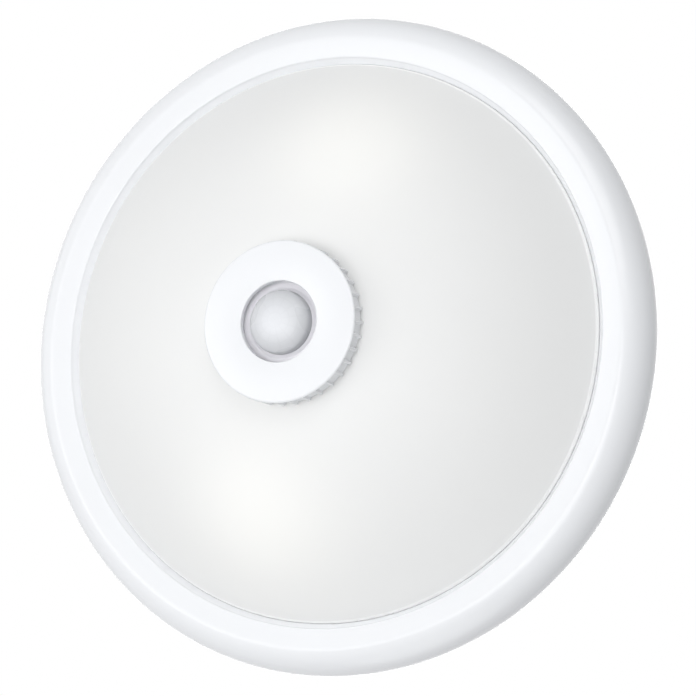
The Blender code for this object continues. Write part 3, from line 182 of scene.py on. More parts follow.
@titled
class PostSizes(bpy.types.PropertyGroup):
    """Sensor housing, lens, clip and setting knobs."""

    thread_height: length(0.0008, "Height of the thread")
    thread_pitch: length(0.0025, "Advance for each turn")
    thread_turns: count(3, "Turns of thread")
    wall: length(0.0026, "Wall thickness of the post")
    top_clearance: length(0.0004, "Air between the rim and the nut's disc")
    rim_wall: length(0.0027, "Thickness of the rim round the recessed top")
    recess: length(0.0021, "Depth of the recessed top")
    top: length(0.002, "Thickness of the recessed top")
    board_ledge: length(0.0017, "Ledge that the board stands on")
    flange_width: length(0.0088, "Width of the foot flange")
    flange: length(0.0025, "Thickness of the foot flange")
    board_drop: length(0.0174, "Board's depth behind the recessed top")
    board: length(0.0016, "Thickness of the board")
    lens_radius: length(0.0142, "Radius of the lens dome")
    lens_proud: length(0.0045, "How far the lens stands out of the nut's face")
    lens_dome: length(0.0063, "Height of the lens dome")
    lens_wall: length(0.001, "Thickness of the lens")
    lens_flange: length(0.0022, "Width of the lens's flange")
    lens_flange_thickness: length(0.0013, "Thickness of the lens's flange")
    lens_hole: length(0.0001, "Air round the lens in its hole")
    collar: length(0.0014, "Sloped collar of the housing round the lens")
    socket_wall: length(0.0016, "Wall of the lens's socket")
    socket_height: length(0.005, "Height of the lens's socket")
    clip: length(0.0017, "Thickness of the lens's clip")
    clip_width: length(0.003, "Width of the lens's clip")
    knob_clearance: length(0.0007, "Between the lens's socket and a knob's shaft")
    trimmer_side: length(0.006, "Width of the trimmer under each knob")
    trimmer_clearance: length(0.0009, "Between a trimmer and the bore")
    knob_shaft: length(0.002, "Radius of a knob's shaft")
    knob_head: length(0.0026, "Radius of a knob's head")
    knob_head_height: length(0.0015, "Height of a knob's head")
    trimmer: length(0.004, "Height of the trimmer under each knob")
    window: length(0.0036, "Radius of the holes for wires")
    window_depth: length(0.013, "Depth of the wire holes below the ceiling")


@titled
class PlateSizes(bpy.types.PropertyGroup):
    """Reflector plate and the screws in it."""

    thickness: length(0.0008, "Sheet thickness")
    flat_margin: length(0.0085, "From the pan's floor edge in to the flat")
    edge_margin: length(0.0035, "From the pan's floor edge in to the plate's lip")
    lip_rise: length(0.006, "Height of the lip")
    screw_inset: length(0.0185, "Screws' distance inside the pan's floor edge")
    access: length(0.0085, "Holes in front of the fixing slots")
    head_radius: length(0.0032, "Radius of a screw head")
    head_height: length(0.002, "Height of a screw head")
    shank: length(0.0015, "Radius of a screw's shank")
    hole_clearance: length(0.0004, "Air round a shank")
    tip: length(0.001, "Length of a screw's taper")
    post_tail: length(0.0018, "How far the housing's screws pass the plate")
    rivet_head: length(0.0026, "Radius of a rivet's head")
    rivet_height: length(0.001, "Height of a rivet's head")
    rivet_tail: length(0.0022, "Radius of a rivet's tail")
    rivet_tail_height: length(0.0008, "Height of a rivet's tail")
    rivet_spacing: length(0.013, "Between the two rivets of a bracket")


@titled
class LampSizes(bpy.types.PropertyGroup):
    """Bracket, lampholder and bulb on each side of the sensor."""

    side_inset: length(0.004, "Lamp axis from the middle between the flange and the plate's lip")
    back_share: amount(0.4219, "Holder's back from the centre, as a share of the same", 0, 1)
    axis_lift: length(0.0024, "Lamp axis from the middle between the plate and the glass")
    back_radius: length(0.016, "Holder's radius at its back")
    mouth_radius: length(0.0195, "Holder's radius at its mouth")
    body_length: length(0.024, "Holder's narrow length")
    taper_length: length(0.003, "Holder's taper")
    holder_length: length(0.038, "Holder's whole length")
    bore: length(0.0149, "Holder's bore radius")
    back_thickness: length(0.009, "Holder's solid back")
    screw_depth: length(0.006, "Depth of the screw hole in the back")
    shell: length(0.0007, "Thickness of the threaded shell")
    shell_start: length(0.012, "Where the shell begins")
    shell_end: length(0.034, "Where the shell ends")
    contact_thickness: length(0.0012, "Thickness of the centre contact")
    bracket: length(0.0012, "Thickness of the bracket's sheet")
    bracket_width: length(0.023, "Width of the bracket")
    bracket_foot: length(0.014, "Length of the bracket's foot")
    bracket_top: length(0.009, "Holder's back that shows past the bracket")
    globe_clearance: length(0.0043, "Air between the globe and the glass dome")
    neck_reach: length(0.029, "From the cap's end to the globe's middle")
    glass_wall: length(0.001, "Thickness of the bulb's glass")
    neck_radius: length(0.0116, "Radius of the bulb's neck")
    neck_length: length(0.008, "Neck inside the cap")
    cap_radius: length(0.0132, "Radius over the cap's thread")
    cap_height: length(0.0007, "Height of the cap's thread")
    cap_pitch: length(0.003629, "Advance for each turn")
    cap_turns: count(4, "Turns of thread on the cap")
    cap_wall: length(0.001, "Wall of the cap")
    cap_collar: length(0.004, "Plain collar above the thread")
    tip_radius: length(0.0045, "Radius of the foot contact")
    tip: length(0.0014, "Height of the foot contact")
    insulator: length(0.003, "Height of the black insulator")
    insulator_radius: length(0.0105, "Radius of the insulator's foot")
    wire_radius: length(0.0011, "Radius of a wire over its insulation")
    wire_lane: length(0.0016, "Half the distance between a pair of wires")
    wire_start: length(0.008, "Wires leave the holder this far from its back")
    wire_turn: length(0.002, "First step of a bend")
    wire_settle: length(0.006, "Stretch before and after a bend")
    wire_tail: length(0.0068, "From the housing's bore in to the wires' tails")
    wire_step: length(0.0012, "Distance between two rings of a wire's skin")
    block_clearance: length(0.0135, "Between the flange and the terminal block")
    block_width: length(0.027, "Terminal block along X")
    block_depth: length(0.017, "Terminal block along Y")
    block_height: length(0.0145, "Terminal block's height")
    block_pitch: length(0.008, "Between two poles")
    block_wire_height: length(0.005, "Wire holes above the plate")
    block_grip: length(0.004, "How far a wire goes into the block")
    well_radius: length(0.0024, "Radius of the well over each pole")
    well_depth: length(0.008, "Depth of the well over each pole")
    wire_hole: length(0.0017, "Radius of the block's wire holes")
    clamp_radius: length(0.002, "Radius of a clamping screw")
    clamp_height: length(0.0026, "Height of a clamping screw")
    clamp_slot_width: length(0.0006, "Width of a clamping screw's slot")
    clamp_slot_depth: length(0.0008, "Depth of a clamping screw's slot")


@titled
class Finishes(bpy.types.PropertyGroup):
    """Colours of the visible finishes."""

    white_plastic: colour((0.875, 0.885, 0.905), "Pan, nut and sensor housing")
    # painted shade: recess is a darker lilac-grey painted on the housing's face round the lens
    recess: colour((0.86, 0.85, 0.89), "Housing's face round the lens")
    opal_glass: colour((0.85, 0.852, 0.846), "Satin glass dome")
    # painted glow: the lamps' light is emission painted on the glass, placed by the glow sizes below
    lamp_glow: colour((1.0, 0.96, 0.82), "Warm light of the lamps behind the glass")
    milky_plastic: colour((0.8, 0.812, 0.842), "Sensor lens and its clip")
    grey_rubber: colour((0.3, 0.3, 0.31), "Gasket, washer and grommet")
    white_enamel: colour((0.82, 0.82, 0.8), "Reflector plate")
    zinc: colour((0.62, 0.63, 0.65), "Screws, rivets and brackets")
    thermoset: colour((0.84, 0.83, 0.79), "Lampholders")
    brass: colour((0.72, 0.53, 0.24), "Shells and contacts")
    frosted: colour((0.9, 0.88, 0.83), "Bulbs")
    aluminium: colour((0.7, 0.71, 0.72), "Bulb caps")
    black: colour((0.03, 0.03, 0.032), "Relay and bulb insulators")
    solder: colour((0.56, 0.56, 0.55), "Bulb foot contacts")
    nylon: colour((0.78, 0.78, 0.73), "Terminal block")
    board: colour((0.045, 0.22, 0.11), "Circuit board")
    blue: colour((0.05, 0.13, 0.42), "Capacitor, trimmers and neutral wires")
    amber: colour((0.56, 0.42, 0.24), "Light sensor and film capacitor")
    knob_grey: colour((0.66, 0.65, 0.69), "Knobs in the recess")
    brown: colour((0.2, 0.09, 0.04), "Live wires")
    # painted glow on the glass: where it sits, how far it spreads and how strong it is
    glow_side: length(0.0843, "Middle of a lamp's glow along X")
    glow_along: length(0.0113, "Middle of a lamp's glow along Y")
    glow_size: length(0.026, "How far a lamp's glow spreads on the glass")
    glow: amount(0.125, "Strength of the glow", 0, 10)


@titled
class Studio(bpy.types.PropertyGroup):
    """Camera and lights."""

    distance: length(2.0, "Camera from the middle of the rim")
    tilt: angle(24.8, "Camera's tilt away from straight below")
    lean: angle(159.5, "Picture direction that the far side of the dome leans to")
    focal: amount(229.0, "Focal length in millimetres on a 36 mm frame", 20, 1000)
    shift_right: amount(0.011, "Camera shift to the right", -1, 1)
    shift_up: amount(-0.0052, "Camera shift upwards", -1, 1)
    ambient: amount(0.463, "Strength of the even light from all round")
    key: amount(8.7, "Power of the soft light beside the camera")
    side: amount(5.2, "Power of the soft light far left of the camera")
    upper: amount(5.7, "Power of the soft light above the camera")
    lower: amount(3.1, "Power of the soft light at the bottom of the picture")
    back: amount(1.6, "Power of the soft light behind the left edge")
    rear: amount(8.5, "Power of the soft light straight behind the object")
    reach: length(1.6, "Distance of the lights from the middle of the rim")
    light_size: length(1.1, "Diameter of each soft light")
    floor_depth: length(3.2, "Floor's depth below the ceiling")
    floor_radius: length(38.0, "Radius of the round floor")
    floor_white: amount(0.42, "How much paler the camera sees the floor", 0, 1)


def sizes():
    """All sizes and colours of the scene, by group."""
    return bpy.context.scene.ceiling_light


class CeilingLight(bpy.types.PropertyGroup):
    """Everything that can be set on the light and its studio."""

    pan: PointerProperty(type=PanSizes, name="Pan", description="Base pan sizes")
    shade: PointerProperty(type=ShadeSizes, name="Shade", description="Glass sizes")
    nut: PointerProperty(type=NutSizes, name="Nut", description="Nut sizes")
    post: PointerProperty(type=PostSizes, name="Sensor", description="Sensor housing sizes")
    plate: PointerProperty(type=PlateSizes, name="Plate", description="Plate and screw sizes")
    lamp: PointerProperty(type=LampSizes, name="Lamps", description="Lamp and wiring sizes")
    finishes: PointerProperty(type=Finishes, name="Finishes", description="Colours")
    studio: PointerProperty(type=Studio, name="Studio", description="Camera and lights")


class Places:
    """Depths and radii that follow from the sizes."""

    def __init__(self):
        s = sizes()
        pan, plate = s.pan, s.plate
        self.gap = pan.seat_gap
        self.rim_middle = pan.outer_radius - pan.roll_radius
        self.crest = pan.widest_depth + pan.roll_radius
        self.channel = pan.outer_radius - pan.band_width
        self.channel_floor = self.crest - pan.channel_sink
        self.floor_radius = self.channel - pan.channel_width
        self.floor = pan.wall
        self.plate_back = self.floor + pan.plate_boss_height + self.gap
        self.plate_front = self.plate_back + plate.thickness
        self.shelf = self.plate_front + self.gap
        self.plate_flat = self.floor_radius - plate.flat_margin
        self.plate_screws = self.floor_radius - plate.screw_inset
        self.slots = self.floor_radius - pan.slot_inset
        self.cable = on_circle(self.floor_radius - pan.cable_inset, pan.cable_angle)
        self.hole = plate.shank + plate.hole_clearance
        self.place_sensor(s.post, s.nut)
        self.place_glass(s.shade, s.nut)
        self.place_lamps(s.lamp, s.shade)

    def place_sensor(self, post, nut):
        gap = self.gap
        self.lens_socket = post.lens_radius + post.lens_flange + gap
        self.knobs = self.lens_socket + post.socket_wall + post.knob_clearance + post.knob_shaft
        self.post_upper_bore = self.knobs + post.trimmer_side / 2 + post.trimmer_clearance
        self.post_bore = self.post_upper_bore + post.board_ledge
        self.post_body = self.post_bore + post.wall
        self.thread = self.post_body + post.thread_height
        self.flange_radius = self.post_body + post.flange_width
        self.post_screws = self.post_body + post.flange_width / 2
        self.flange = self.shelf + post.flange
        self.nut_bore = self.thread + nut.thread_clearance
        self.nut_radius = self.nut_bore + nut.wall
        self.nut_skirt = self.nut_radius - nut.rib_depth - nut.skirt_wall
        self.nut_window = post.lens_radius + nut.window_margin
        self.nut_cavity = nut.face_depth - nut.disc
        self.post_rim = self.nut_cavity - post.top_clearance
        self.post_face = self.post_rim - post.recess
        self.post_ceiling = self.post_face - post.top
        self.lens_apex = nut.face_depth + post.lens_proud
        self.board_front = self.post_face - post.board_drop
        self.board_back = self.board_front - post.board

    def place_glass(self, shade, nut):
        gap = self.gap
        self.glass_radius = self.channel - shade.edge_clearance
        self.gasket = self.channel_floor + gap
        self.glass_edge = self.gasket + shade.gasket_thickness + gap
        self.dome_start = self.glass_edge + shade.collar_height
        self.glass_waist = self.glass_radius - shade.waist
        self.waist_depth = self.glass_edge + shade.waist_height
        self.glass_hole = self.thread + shade.hole_clearance
        self.washer_inner = self.thread + shade.washer_clearance
        self.washer_outer = self.washer_inner + shade.washer_width
        r1, d1 = self.glass_radius, self.dome_start
        r2, d2 = self.washer_inner, nut.face_depth * shade.seat_share
        self.dome_centre = (r1**2 + d1**2 - r2**2 - d2**2) / (2 * (d1 - d2))
        self.dome_radius = math.hypot(r1, d1 - self.dome_centre)
        self.washer_back = self.dome_depth(self.washer_inner) + gap
        self.washer_front = self.washer_back + shade.washer_thickness
        self.nut_shoulder = self.washer_front + gap
        self.nut_foot = self.dome_depth(self.nut_skirt) + gap

    def place_lamps(self, lamp, shade):
        gap = self.gap
        self.lamp_side = (self.flange_radius + self.plate_flat) / 2 - lamp.side_inset
        self.lamp_back = self.floor_radius * lamp.back_share
        room_end = self.dome_depth(self.lamp_side, shade.thickness)
        self.lamp_axis = (self.plate_front + room_end) / 2 - lamp.axis_lift
        self.bulb_foot = lamp.back_thickness + lamp.contact_thickness + 2 * gap
        self.bulb_insulator = self.bulb_foot + lamp.tip + gap
        self.cap_start = self.bulb_insulator + lamp.insulator + gap
        self.cap_end = self.cap_start + lamp.cap_turns * lamp.cap_pitch + lamp.cap_collar
        self.globe_middle = self.cap_end + lamp.neck_reach
        self.globe = self.dome_radius - shade.thickness - lamp.globe_clearance - math.hypot(
            self.lamp_side, self.globe_middle - self.lamp_back, self.lamp_axis - self.dome_centre
        )
        self.wire_tail = self.post_bore - lamp.wire_tail
        self.block_place = -(self.flange_radius + lamp.block_clearance + lamp.block_depth / 2)

    def dome_depth(self, radius, inset=0.0):
        return self.dome_centre + math.sqrt((self.dome_radius - inset) ** 2 - radius**2)

    def station(self, side):
        """Matrix that lays a lamp built along its own Z flat under the plate."""
        turn = (-QUARTER_TURN, 0, 0 if side < 0 else HALF_TURN)
        return placed(side * self.lamp_side, side * self.lamp_back, -self.lamp_axis, turn)


STATIONS = ((1, -1), (2, 1))
PLATE_SCREW_ANGLES = (60, 180, 300)
POST_SCREW_ANGLES = (90, 210, 330)
WINDOW_ANGLES = (-90, 0, 180)
KNOB_ANGLES = {"time": 60, "lux": 120}


# Shaping

def on_circle(radius, at):
    return radius * math.cos(at), radius * math.sin(at)


def arc(radius, depth, radial, axial, start, end, steps):
    """Points of an elliptical arc in the (radius, depth) plane, both ends included."""
    turns = [start + (end - start) * i / steps for i in range(steps + 1)]
    return [(radius + radial * math.cos(t), depth + axial * math.sin(t)) for t in turns]


def placed(x, y, z=0.0, turn=(0.0, 0.0, 0.0)):
    """Matrix that turns a thing about X, Y and Z and then puts it in its place."""
    return Matrix.Translation((x, y, z)) @ Euler(turn).to_matrix().to_4x4()


def curved(first, corner, last, steps):
    """Points of a curve from first to last that leans towards a corner."""
    shares = [i / steps for i in range(steps + 1)]
    return [tuple(first * (1 - t) ** 2 + corner * 2 * t * (1 - t) + last * t**2) for t in shares]


def eased(outline, size, steps=3):
    """A closed outline with each sharp corner rounded. Corners on the axis are left alone."""
    made = []
    total = len(outline)
    for i, here in enumerate(outline):
        corner = Vector(here)
        before = Vector(outline[i - 1]) - corner
        after = Vector(outline[(i + 1) % total]) - corner
        if corner.x < NEAR_AXIS or before.angle(after) > NEARLY_STRAIGHT:
            made.append(tuple(corner))
            continue
        reach = min(size, before.length * CORNER_SHARE, after.length * CORNER_SHARE)
        start, end = (corner + way.normalized() * reach for way in (before, after))
        made += curved(start, corner, end, steps)
    return made


def band(inner, outer, start, end):
    """Outline of a plain ring, or of a disc where its inner radius is zero."""
    return [(inner, start), (outer, start), (outer, end), (inner, end)]


def linked(name, data):
    """A new object in the scene."""
    made = bpy.data.objects.new(name, data)
    bpy.context.scene.collection.objects.link(made)
    return made


def smoothed(obj, sharp=SHARP_EDGE):
    """Smooth shading, with the edges above an angle in degrees kept sharp."""
    obj.data.shade_smooth()
    obj.data.set_sharp_from_angle(angle=math.radians(sharp))
    return obj


def mesh_object(name, bm, place=None):
    """A smooth-shaded object whose place is in its mesh."""
    if place is not None:
        bmesh.ops.transform(bm, matrix=place, verts=bm.verts)
    mesh = bpy.data.meshes.new(name)
    bm.to_mesh(mesh)
    bm.free()
    return smoothed(linked(name, mesh))


def turned(name, outline, segments, place=None, hanging=True):
    """A solid turned about Z from a closed outline of (radius, depth) points, or (radius, height)."""
    way = -1 if hanging else 1
    bm = bmesh.new()
    ring = [bm.verts.new((radius, 0, way * depth)) for radius, depth in outline]
    edges = []
    for first, second in zip(ring, ring[1:] + ring[:1]):
        if max(first.co.x, second.co.x) > ON_AXIS:
            edges.append(bm.edges.new((first, second)))
    bmesh.ops.spin(
        bm, geom=edges, cent=(0, 0, 0), axis=(0, 0, 1), dvec=(0, 0, 0),
        angle=FULL_TURN, steps=segments, use_merge=True, use_duplicate=False,
    )
    bmesh.ops.remove_doubles(bm, verts=bm.verts, dist=SAME_POINT)
    bmesh.ops.recalc_face_normals(bm, faces=bm.faces)
    return mesh_object(name, bm, place)


def post_of(radius, low, high, segments=24, place=None):
    """A plain round cutter between two heights."""
    return turned("cutter", band(0, radius, low, high), segments, place, hanging=False)


def brick(name, size, place=None, edge=0.0, steps=2):
    """A rectangular solid with rounded edges, centred on its place."""
    bm = bmesh.new()
    bmesh.ops.create_cube(bm, size=1.0)
    bmesh.ops.scale(bm, vec=size, verts=bm.verts)
    if edge:
        bmesh.ops.bevel(
            bm, geom=bm.edges, offset=edge, segments=steps, profile=0.5, affect="EDGES", clamp_overlap=True
        )
    return mesh_object(name, bm, place)


def prism(name, outline, height, place=None):
    """A flat outline of (x, y) points pushed along Z, centred on its height."""
    bm = bmesh.new()
    face = bm.faces.new([bm.verts.new((x, y, -height / 2)) for x, y in outline])
    pushed = bmesh.ops.extrude_face_region(bm, geom=[face])
    moved = [v for v in pushed["geom"] if isinstance(v, bmesh.types.BMVert)]
    bmesh.ops.translate(bm, verts=moved, vec=(0, 0, height))
    bmesh.ops.recalc_face_normals(bm, faces=bm.faces)
    return mesh_object(name, bm, place)


def plain_mesh(obj):
    """Gives an object its evaluated mesh and drops its modifiers."""
    bpy.context.view_layer.update()
    graph = bpy.context.evaluated_depsgraph_get()
    mesh = bpy.data.meshes.new_from_object(obj.evaluated_get(graph), depsgraph=graph)
    obj.modifiers.clear()
    obj.data = mesh
    return obj


def shaped(obj, cutters=(), additions=()):
    """Adds and cuts with Booleans, then keeps the result as a plain mesh."""
    for operation, tools in (("UNION", additions), ("DIFFERENCE", cutters)):
        for tool in tools:
            step = obj.modifiers.new(tool.name, "BOOLEAN")
            step.operation = operation
            step.object = tool
    plain_mesh(obj)
    for tool in (*cutters, *additions):
        bpy.data.objects.remove(tool)
    return smoothed(obj)


def merged(pieces):
    """One object from several that cut or join together."""
    bm = bmesh.new()
    for piece in pieces:
        bm.from_mesh(piece.data)
        bpy.data.objects.remove(piece)
    return mesh_object("merged", bm)


def settle(obj, slot_name, body="base", nodes=None, finish=None):
    """Gives a piece its finish and its body, and hides the CAD nodes it stands for, by default its namesake.
    """
    obj.data.materials.clear()
    obj.data.materials.append(finish_of(finish or slot_name))
    for face in obj.data.polygons:
        face.material_index = 0
    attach(obj, body)
    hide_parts(*(nodes or [obj.name.removesuffix("_fine")]))


def laid(obj, place):
    """Puts a piece that was made along its own Z in its place, in its mesh."""
    obj.data.transform(place)
    obj.data.update()
    return obj


def hole_at(radius, low_depth, high_depth, x, y, segments=24):
    """A round cutter along Z between two depths."""
    return post_of(radius, -high_depth, -low_depth, segments, placed(x, y))


def bend(first, corner, last, reach, steps):
    """Points of a smooth bend round a corner, from reach before it to reach after it."""
    corner = Vector(corner)
    start = corner + (Vector(first) - corner).normalized() * reach
    end = corner + (Vector(last) - corner).normalized() * reach
    return curved(start, corner, end, steps)


def rows(start, end, step):
    """Numbers from start to end, evenly spaced by about a step, both included."""
    total = max(1, round(abs(end - start) / step))
    return [start + (end - start) * i / total for i in range(total + 1)]


# Node trees

class Nodes:
    """Adds nodes to one tree, with values or links on their inputs."""

    def __init__(self, tree):
        self.tree = tree

    def put(self, socket, value):
        if isinstance(value, bpy.types.NodeSocket):
            self.tree.links.new(value, socket)
        elif isinstance(value, tuple) and socket.type == "RGBA":
            socket.default_value = (*value, 1.0)
        else:
            socket.default_value = value

    def add(self, kind, values=None, **settings):
        made = self.tree.nodes.new(kind)
        for key, value in settings.items():
            setattr(made, key, value)
        for key, value in (values or {}).items():
            self.put(made.inputs[key], value)
        return made

    def math(self, operation, *values):
        return self.add("ShaderNodeMath", dict(enumerate(values)), operation=operation).outputs[0]

    def times(self, first, second):
        return self.math("MULTIPLY", first, second)

    def plus(self, first, second):
        return self.math("ADD", first, second)

    def minus(self, first, second):
        return self.math("SUBTRACT", first, second)

    def ranged(self, value, low, high, to_low=0.0, to_high=1.0):
        """Eases a value from one range to another."""
        values = {"Value": value, "From Min": low, "From Max": high, "To Min": to_low, "To Max": to_high}
        return self.add("ShaderNodeMapRange", values, interpolation_type="SMOOTHSTEP").outputs[0]


class ShapeTree(Nodes):
    """One geometry node tree with named inputs: whole numbers, lengths, or an object for None."""

    def __init__(self, name, inputs):
        super().__init__(bpy.data.node_groups.new(name, "GeometryNodeTree"))
        face = self.tree.interface
        face.new_socket("Geometry", in_out="INPUT", socket_type="NodeSocketGeometry")
        for label, default in inputs.items():
            kind = {int: "Int", float: "Float"}.get(type(default), "Object")
            socket = face.new_socket(label, in_out="INPUT", socket_type="NodeSocket" + kind)
            if default is not None:
                socket.default_value = default
        face.new_socket("Material", in_out="INPUT", socket_type="NodeSocketMaterial")
        face.new_socket("Geometry", in_out="OUTPUT", socket_type="NodeSocketGeometry")
        self.inputs = self.add("NodeGroupInput")

    def given(self, name):
        return self.inputs.outputs[name]

    def close(self, geometry):
        real = self.add("GeometryNodeRealizeInstances", {"Geometry": geometry}).outputs["Geometry"]
        finish = self.add("GeometryNodeSetMaterial", {"Geometry": real, "Material": self.given("Material")})
        self.add("NodeGroupOutput", {"Geometry": finish.outputs["Geometry"]})
        return self.tree


def grown(obj, tree, values, sharp=SHARP_EDGE):
    """Runs a node tree on an object and keeps what it makes as a plain mesh."""
    step = obj.modifiers.new(tree.name, "NODES")
    step.node_group = tree
    for item in tree.interface.items_tree:
        if item.in_out == "INPUT" and item.name in values:
            step[item.identifier] = values[item.name]
    return smoothed(plain_mesh(obj), sharp)


def radial_parts(shape):
    """Height, angle, radius and the outward direction of each point."""
    position = shape.add("GeometryNodeInputPosition").outputs[0]
    x, y, z = shape.add("ShaderNodeSeparateXYZ", {"Vector": position}).outputs
    flat = shape.add("ShaderNodeCombineXYZ", {"X": x, "Y": y}).outputs[0]
    outward = shape.add("ShaderNodeVectorMath", {0: flat}, operation="NORMALIZE").outputs[0]
    radius = shape.add("ShaderNodeVectorMath", {0: flat}, operation="LENGTH").outputs["Value"]
    return z, shape.math("ARCTAN2", y, x), radius, outward


def close_pushed(shape, z, radius, outward, distance):
    """Ends a tree that moves the skin outwards, easing in between Low and High and outside Beyond."""
    low, high, soft = (shape.given(name) for name in ("Low", "High", "Soft"))
    rise = shape.ranged(z, low, shape.plus(low, soft))
    fall = shape.ranged(z, shape.minus(high, soft), high)
    mask = shape.times(rise, shape.minus(1.0, fall))
    outside = shape.math("GREATER_THAN", radius, shape.given("Beyond"))
    distance = shape.times(distance, shape.times(mask, outside))
    step = shape.add("ShaderNodeVectorMath", {0: outward, "Scale": distance}, operation="SCALE").outputs[0]
    moved = shape.add("GeometryNodeSetPosition", {"Geometry": shape.given("Geometry"), "Offset": step})
    return shape.close(moved.outputs["Geometry"])


RIB_FLANK = 0.16


def knurl_tree():
    """Narrow upright ribs: everything outside a radius sinks between them."""
    shape = ShapeTree("Knurl", {
        "Ribs": 36, "Rib Depth": 0.0008, "Rib Share": 0.3, "Low": 0.0, "High": 1.0,
        "Soft": 0.001, "Beyond": 0.03,
    })
    z, around, radius, outward = radial_parts(shape)
    wave = shape.math("COSINE", shape.times(around, shape.given("Ribs")))
    edge = shape.math("COSINE", shape.times(shape.given("Rib Share"), HALF_TURN))
    rib = shape.ranged(wave, shape.minus(edge, RIB_FLANK), shape.plus(edge, RIB_FLANK))
    sink = shape.times(shape.minus(rib, 1.0), shape.given("Rib Depth"))
    return close_pushed(shape, z, radius, outward, sink)


def thread_tree():
    """A rounded helical thread on the outside of a turned piece."""
    shape = ShapeTree("Thread", {
        "Pitch": 0.0025, "Height": 0.0008, "Low": 0.0, "High": 1.0, "Soft": 0.001, "Beyond": 0.02,
    })
    z, around, radius, outward = radial_parts(shape)
    lead = shape.times(shape.math("DIVIDE", z, shape.given("Pitch")), FULL_TURN)
    wave = shape.math("COSINE", shape.minus(lead, around))
    lift = shape.times(shape.math("MULTIPLY_ADD", wave, 0.5, 0.5), shape.given("Height"))
    return close_pushed(shape, z, radius, outward, lift)


def spread_tree():
    """Copies of one small part on the object's points, each turned by the point's own angle."""
    shape = ShapeTree("Spread", {"Part": None})
    part = shape.add("GeometryNodeObjectInfo", {"Object": shape.given("Part")}, transform_space="ORIGINAL")
    turn = shape.add("GeometryNodeInputNamedAttribute", {"Name": "turn"}, data_type="FLOAT")
    around = shape.add("ShaderNodeCombineXYZ", {"Z": turn.outputs["Attribute"]})
    points = shape.add("GeometryNodeMeshToPoints", {"Mesh": shape.given("Geometry")})
    copies = shape.add("GeometryNodeInstanceOnPoints", {
        "Points": points.outputs[0], "Instance": part.outputs["Geometry"], "Rotation": around.outputs[0],
    })
    return shape.close(copies.outputs["Instances"])


def route_tree():
    """A round wire with closed ends along a line of points."""
    shape = ShapeTree("Route", {"Radius": 0.001, "Sides": 14})
    path = shape.add("GeometryNodeMeshToCurve", {"Mesh": shape.given("Geometry")})
    ring = shape.add("GeometryNodeCurvePrimitiveCircle", {
        "Resolution": shape.given("Sides"), "Radius": shape.given("Radius"),
    })
    tube = shape.add("GeometryNodeCurveToMesh", {
        "Curve": path.outputs["Curve"], "Profile Curve": ring.outputs["Curve"], "Fill Caps": True,
    })
    return shape.close(tube.outputs["Mesh"])


def spread(name, part, spots, finish):
    """Places a part at (x, y, turn) spots through the spread tree."""
    mesh = bpy.data.meshes.new(name)
    mesh.from_pydata([(x, y, 0.0) for x, y, _ in spots], [], [])
    turns = mesh.attributes.new("turn", "FLOAT", "POINT")
    turns.data.foreach_set("value", [turn for _, _, turn in spots])
    made = grown(linked(name, mesh), spread_tree(), {"Part": part, "Material": finish_of(finish)})
    bpy.data.objects.remove(part)
    return made


# Finishes

class Finish(Nodes):
    """Builds one material: a Principled shader fed by patterns on Object coordinates."""

    def __init__(self, name, base, metallic=0.0):
        self.material = bpy.data.materials.new(name + "_finish")
        self.material.use_nodes = True
        super().__init__(self.material.node_tree)
        self.shader = self.tree.nodes["Principled BSDF"]
        self.shader.inputs["Metallic"].default_value = metallic
        self.base = tuple(base)
        self.spot = self.add("ShaderNodeTexCoord").outputs["Object"]
        self.slope = None

    def noise(self, scale, detail=3.0, spot=None):
        """Soft noise from 0 to 1. The scale is in features for each metre."""
        values = {"Vector": spot or self.spot, "Scale": scale, "Detail": detail, "Roughness": 0.55}
        return self.add("ShaderNodeTexNoise", values).outputs[0]

    def cells(self, scale):
        """Distance to the nearest of scattered points. The scale is in points for each metre."""
        return self.add("ShaderNodeTexVoronoi", {"Vector": self.spot, "Scale": scale}).outputs["Distance"]

    def blended(self, share, first, second):
        """A colour between two, by a share from 0 to 1."""
        made = self.add("ShaderNodeMix", data_type="RGBA")
        for index, value in ((0, share), (6, first), (7, second)):
            self.put(made.inputs[index], value)
        return made.outputs[2]

    def toned(self, factor):
        return tuple(min(1.0, c * factor) for c in self.base)

    def shade(self, share, darker, lighter):
        """The base colour scaled between two factors."""
        return self.blended(share, self.toned(darker), self.toned(lighter))

    def around(self):
        """Height, angle and radius of a point about the light's own axis."""
        x, y, z = self.add("ShaderNodeSeparateXYZ", {"Vector": self.spot}).outputs
        radius = self.math("SQRT", self.plus(self.times(x, x), self.times(y, y)))
        return z, self.math("ARCTAN2", y, x), radius

    def bump(self, height, strength, distance):
        """Adds a relief on top of those already there."""
        values = {"Height": height, "Strength": strength, "Distance": distance}
        if self.slope is not None:
            values["Normal"] = self.slope
        self.slope = self.add("ShaderNodeBump", values).outputs["Normal"]

    def done(self, base, roughness, **uniform):
        """Feeds the shader. Uniform numbers go on its own sockets."""
        self.put(self.shader.inputs["Base Color"], base)
        self.put(self.shader.inputs["Roughness"], roughness)
        if self.slope is not None:
            self.put(self.shader.inputs["Normal"], self.slope)
        for name, value in uniform.items():
            self.put(self.shader.inputs[name.replace("_", " ").title().replace("Ior", "IOR")], value)
        return self.material


def white_plastic():
    """Glossy moulded plastic: faint orange peel, flow shading and a slightly uneven gloss."""
    look = Finish("white_plastic", sizes().finishes.white_plastic)
    flow = look.noise(9, 2.0)
    gloss = look.noise(30, 2.0)
    look.bump(look.noise(420, 2.0), 0.02, 0.0003)
    look.bump(look.noise(3600, 2.0), 0.02, 0.00005)
    return look.done(look.shade(flow, 0.992, 1.004), look.ranged(gloss, 0.2, 0.8, 0.19, 0.22), ior=1.5)


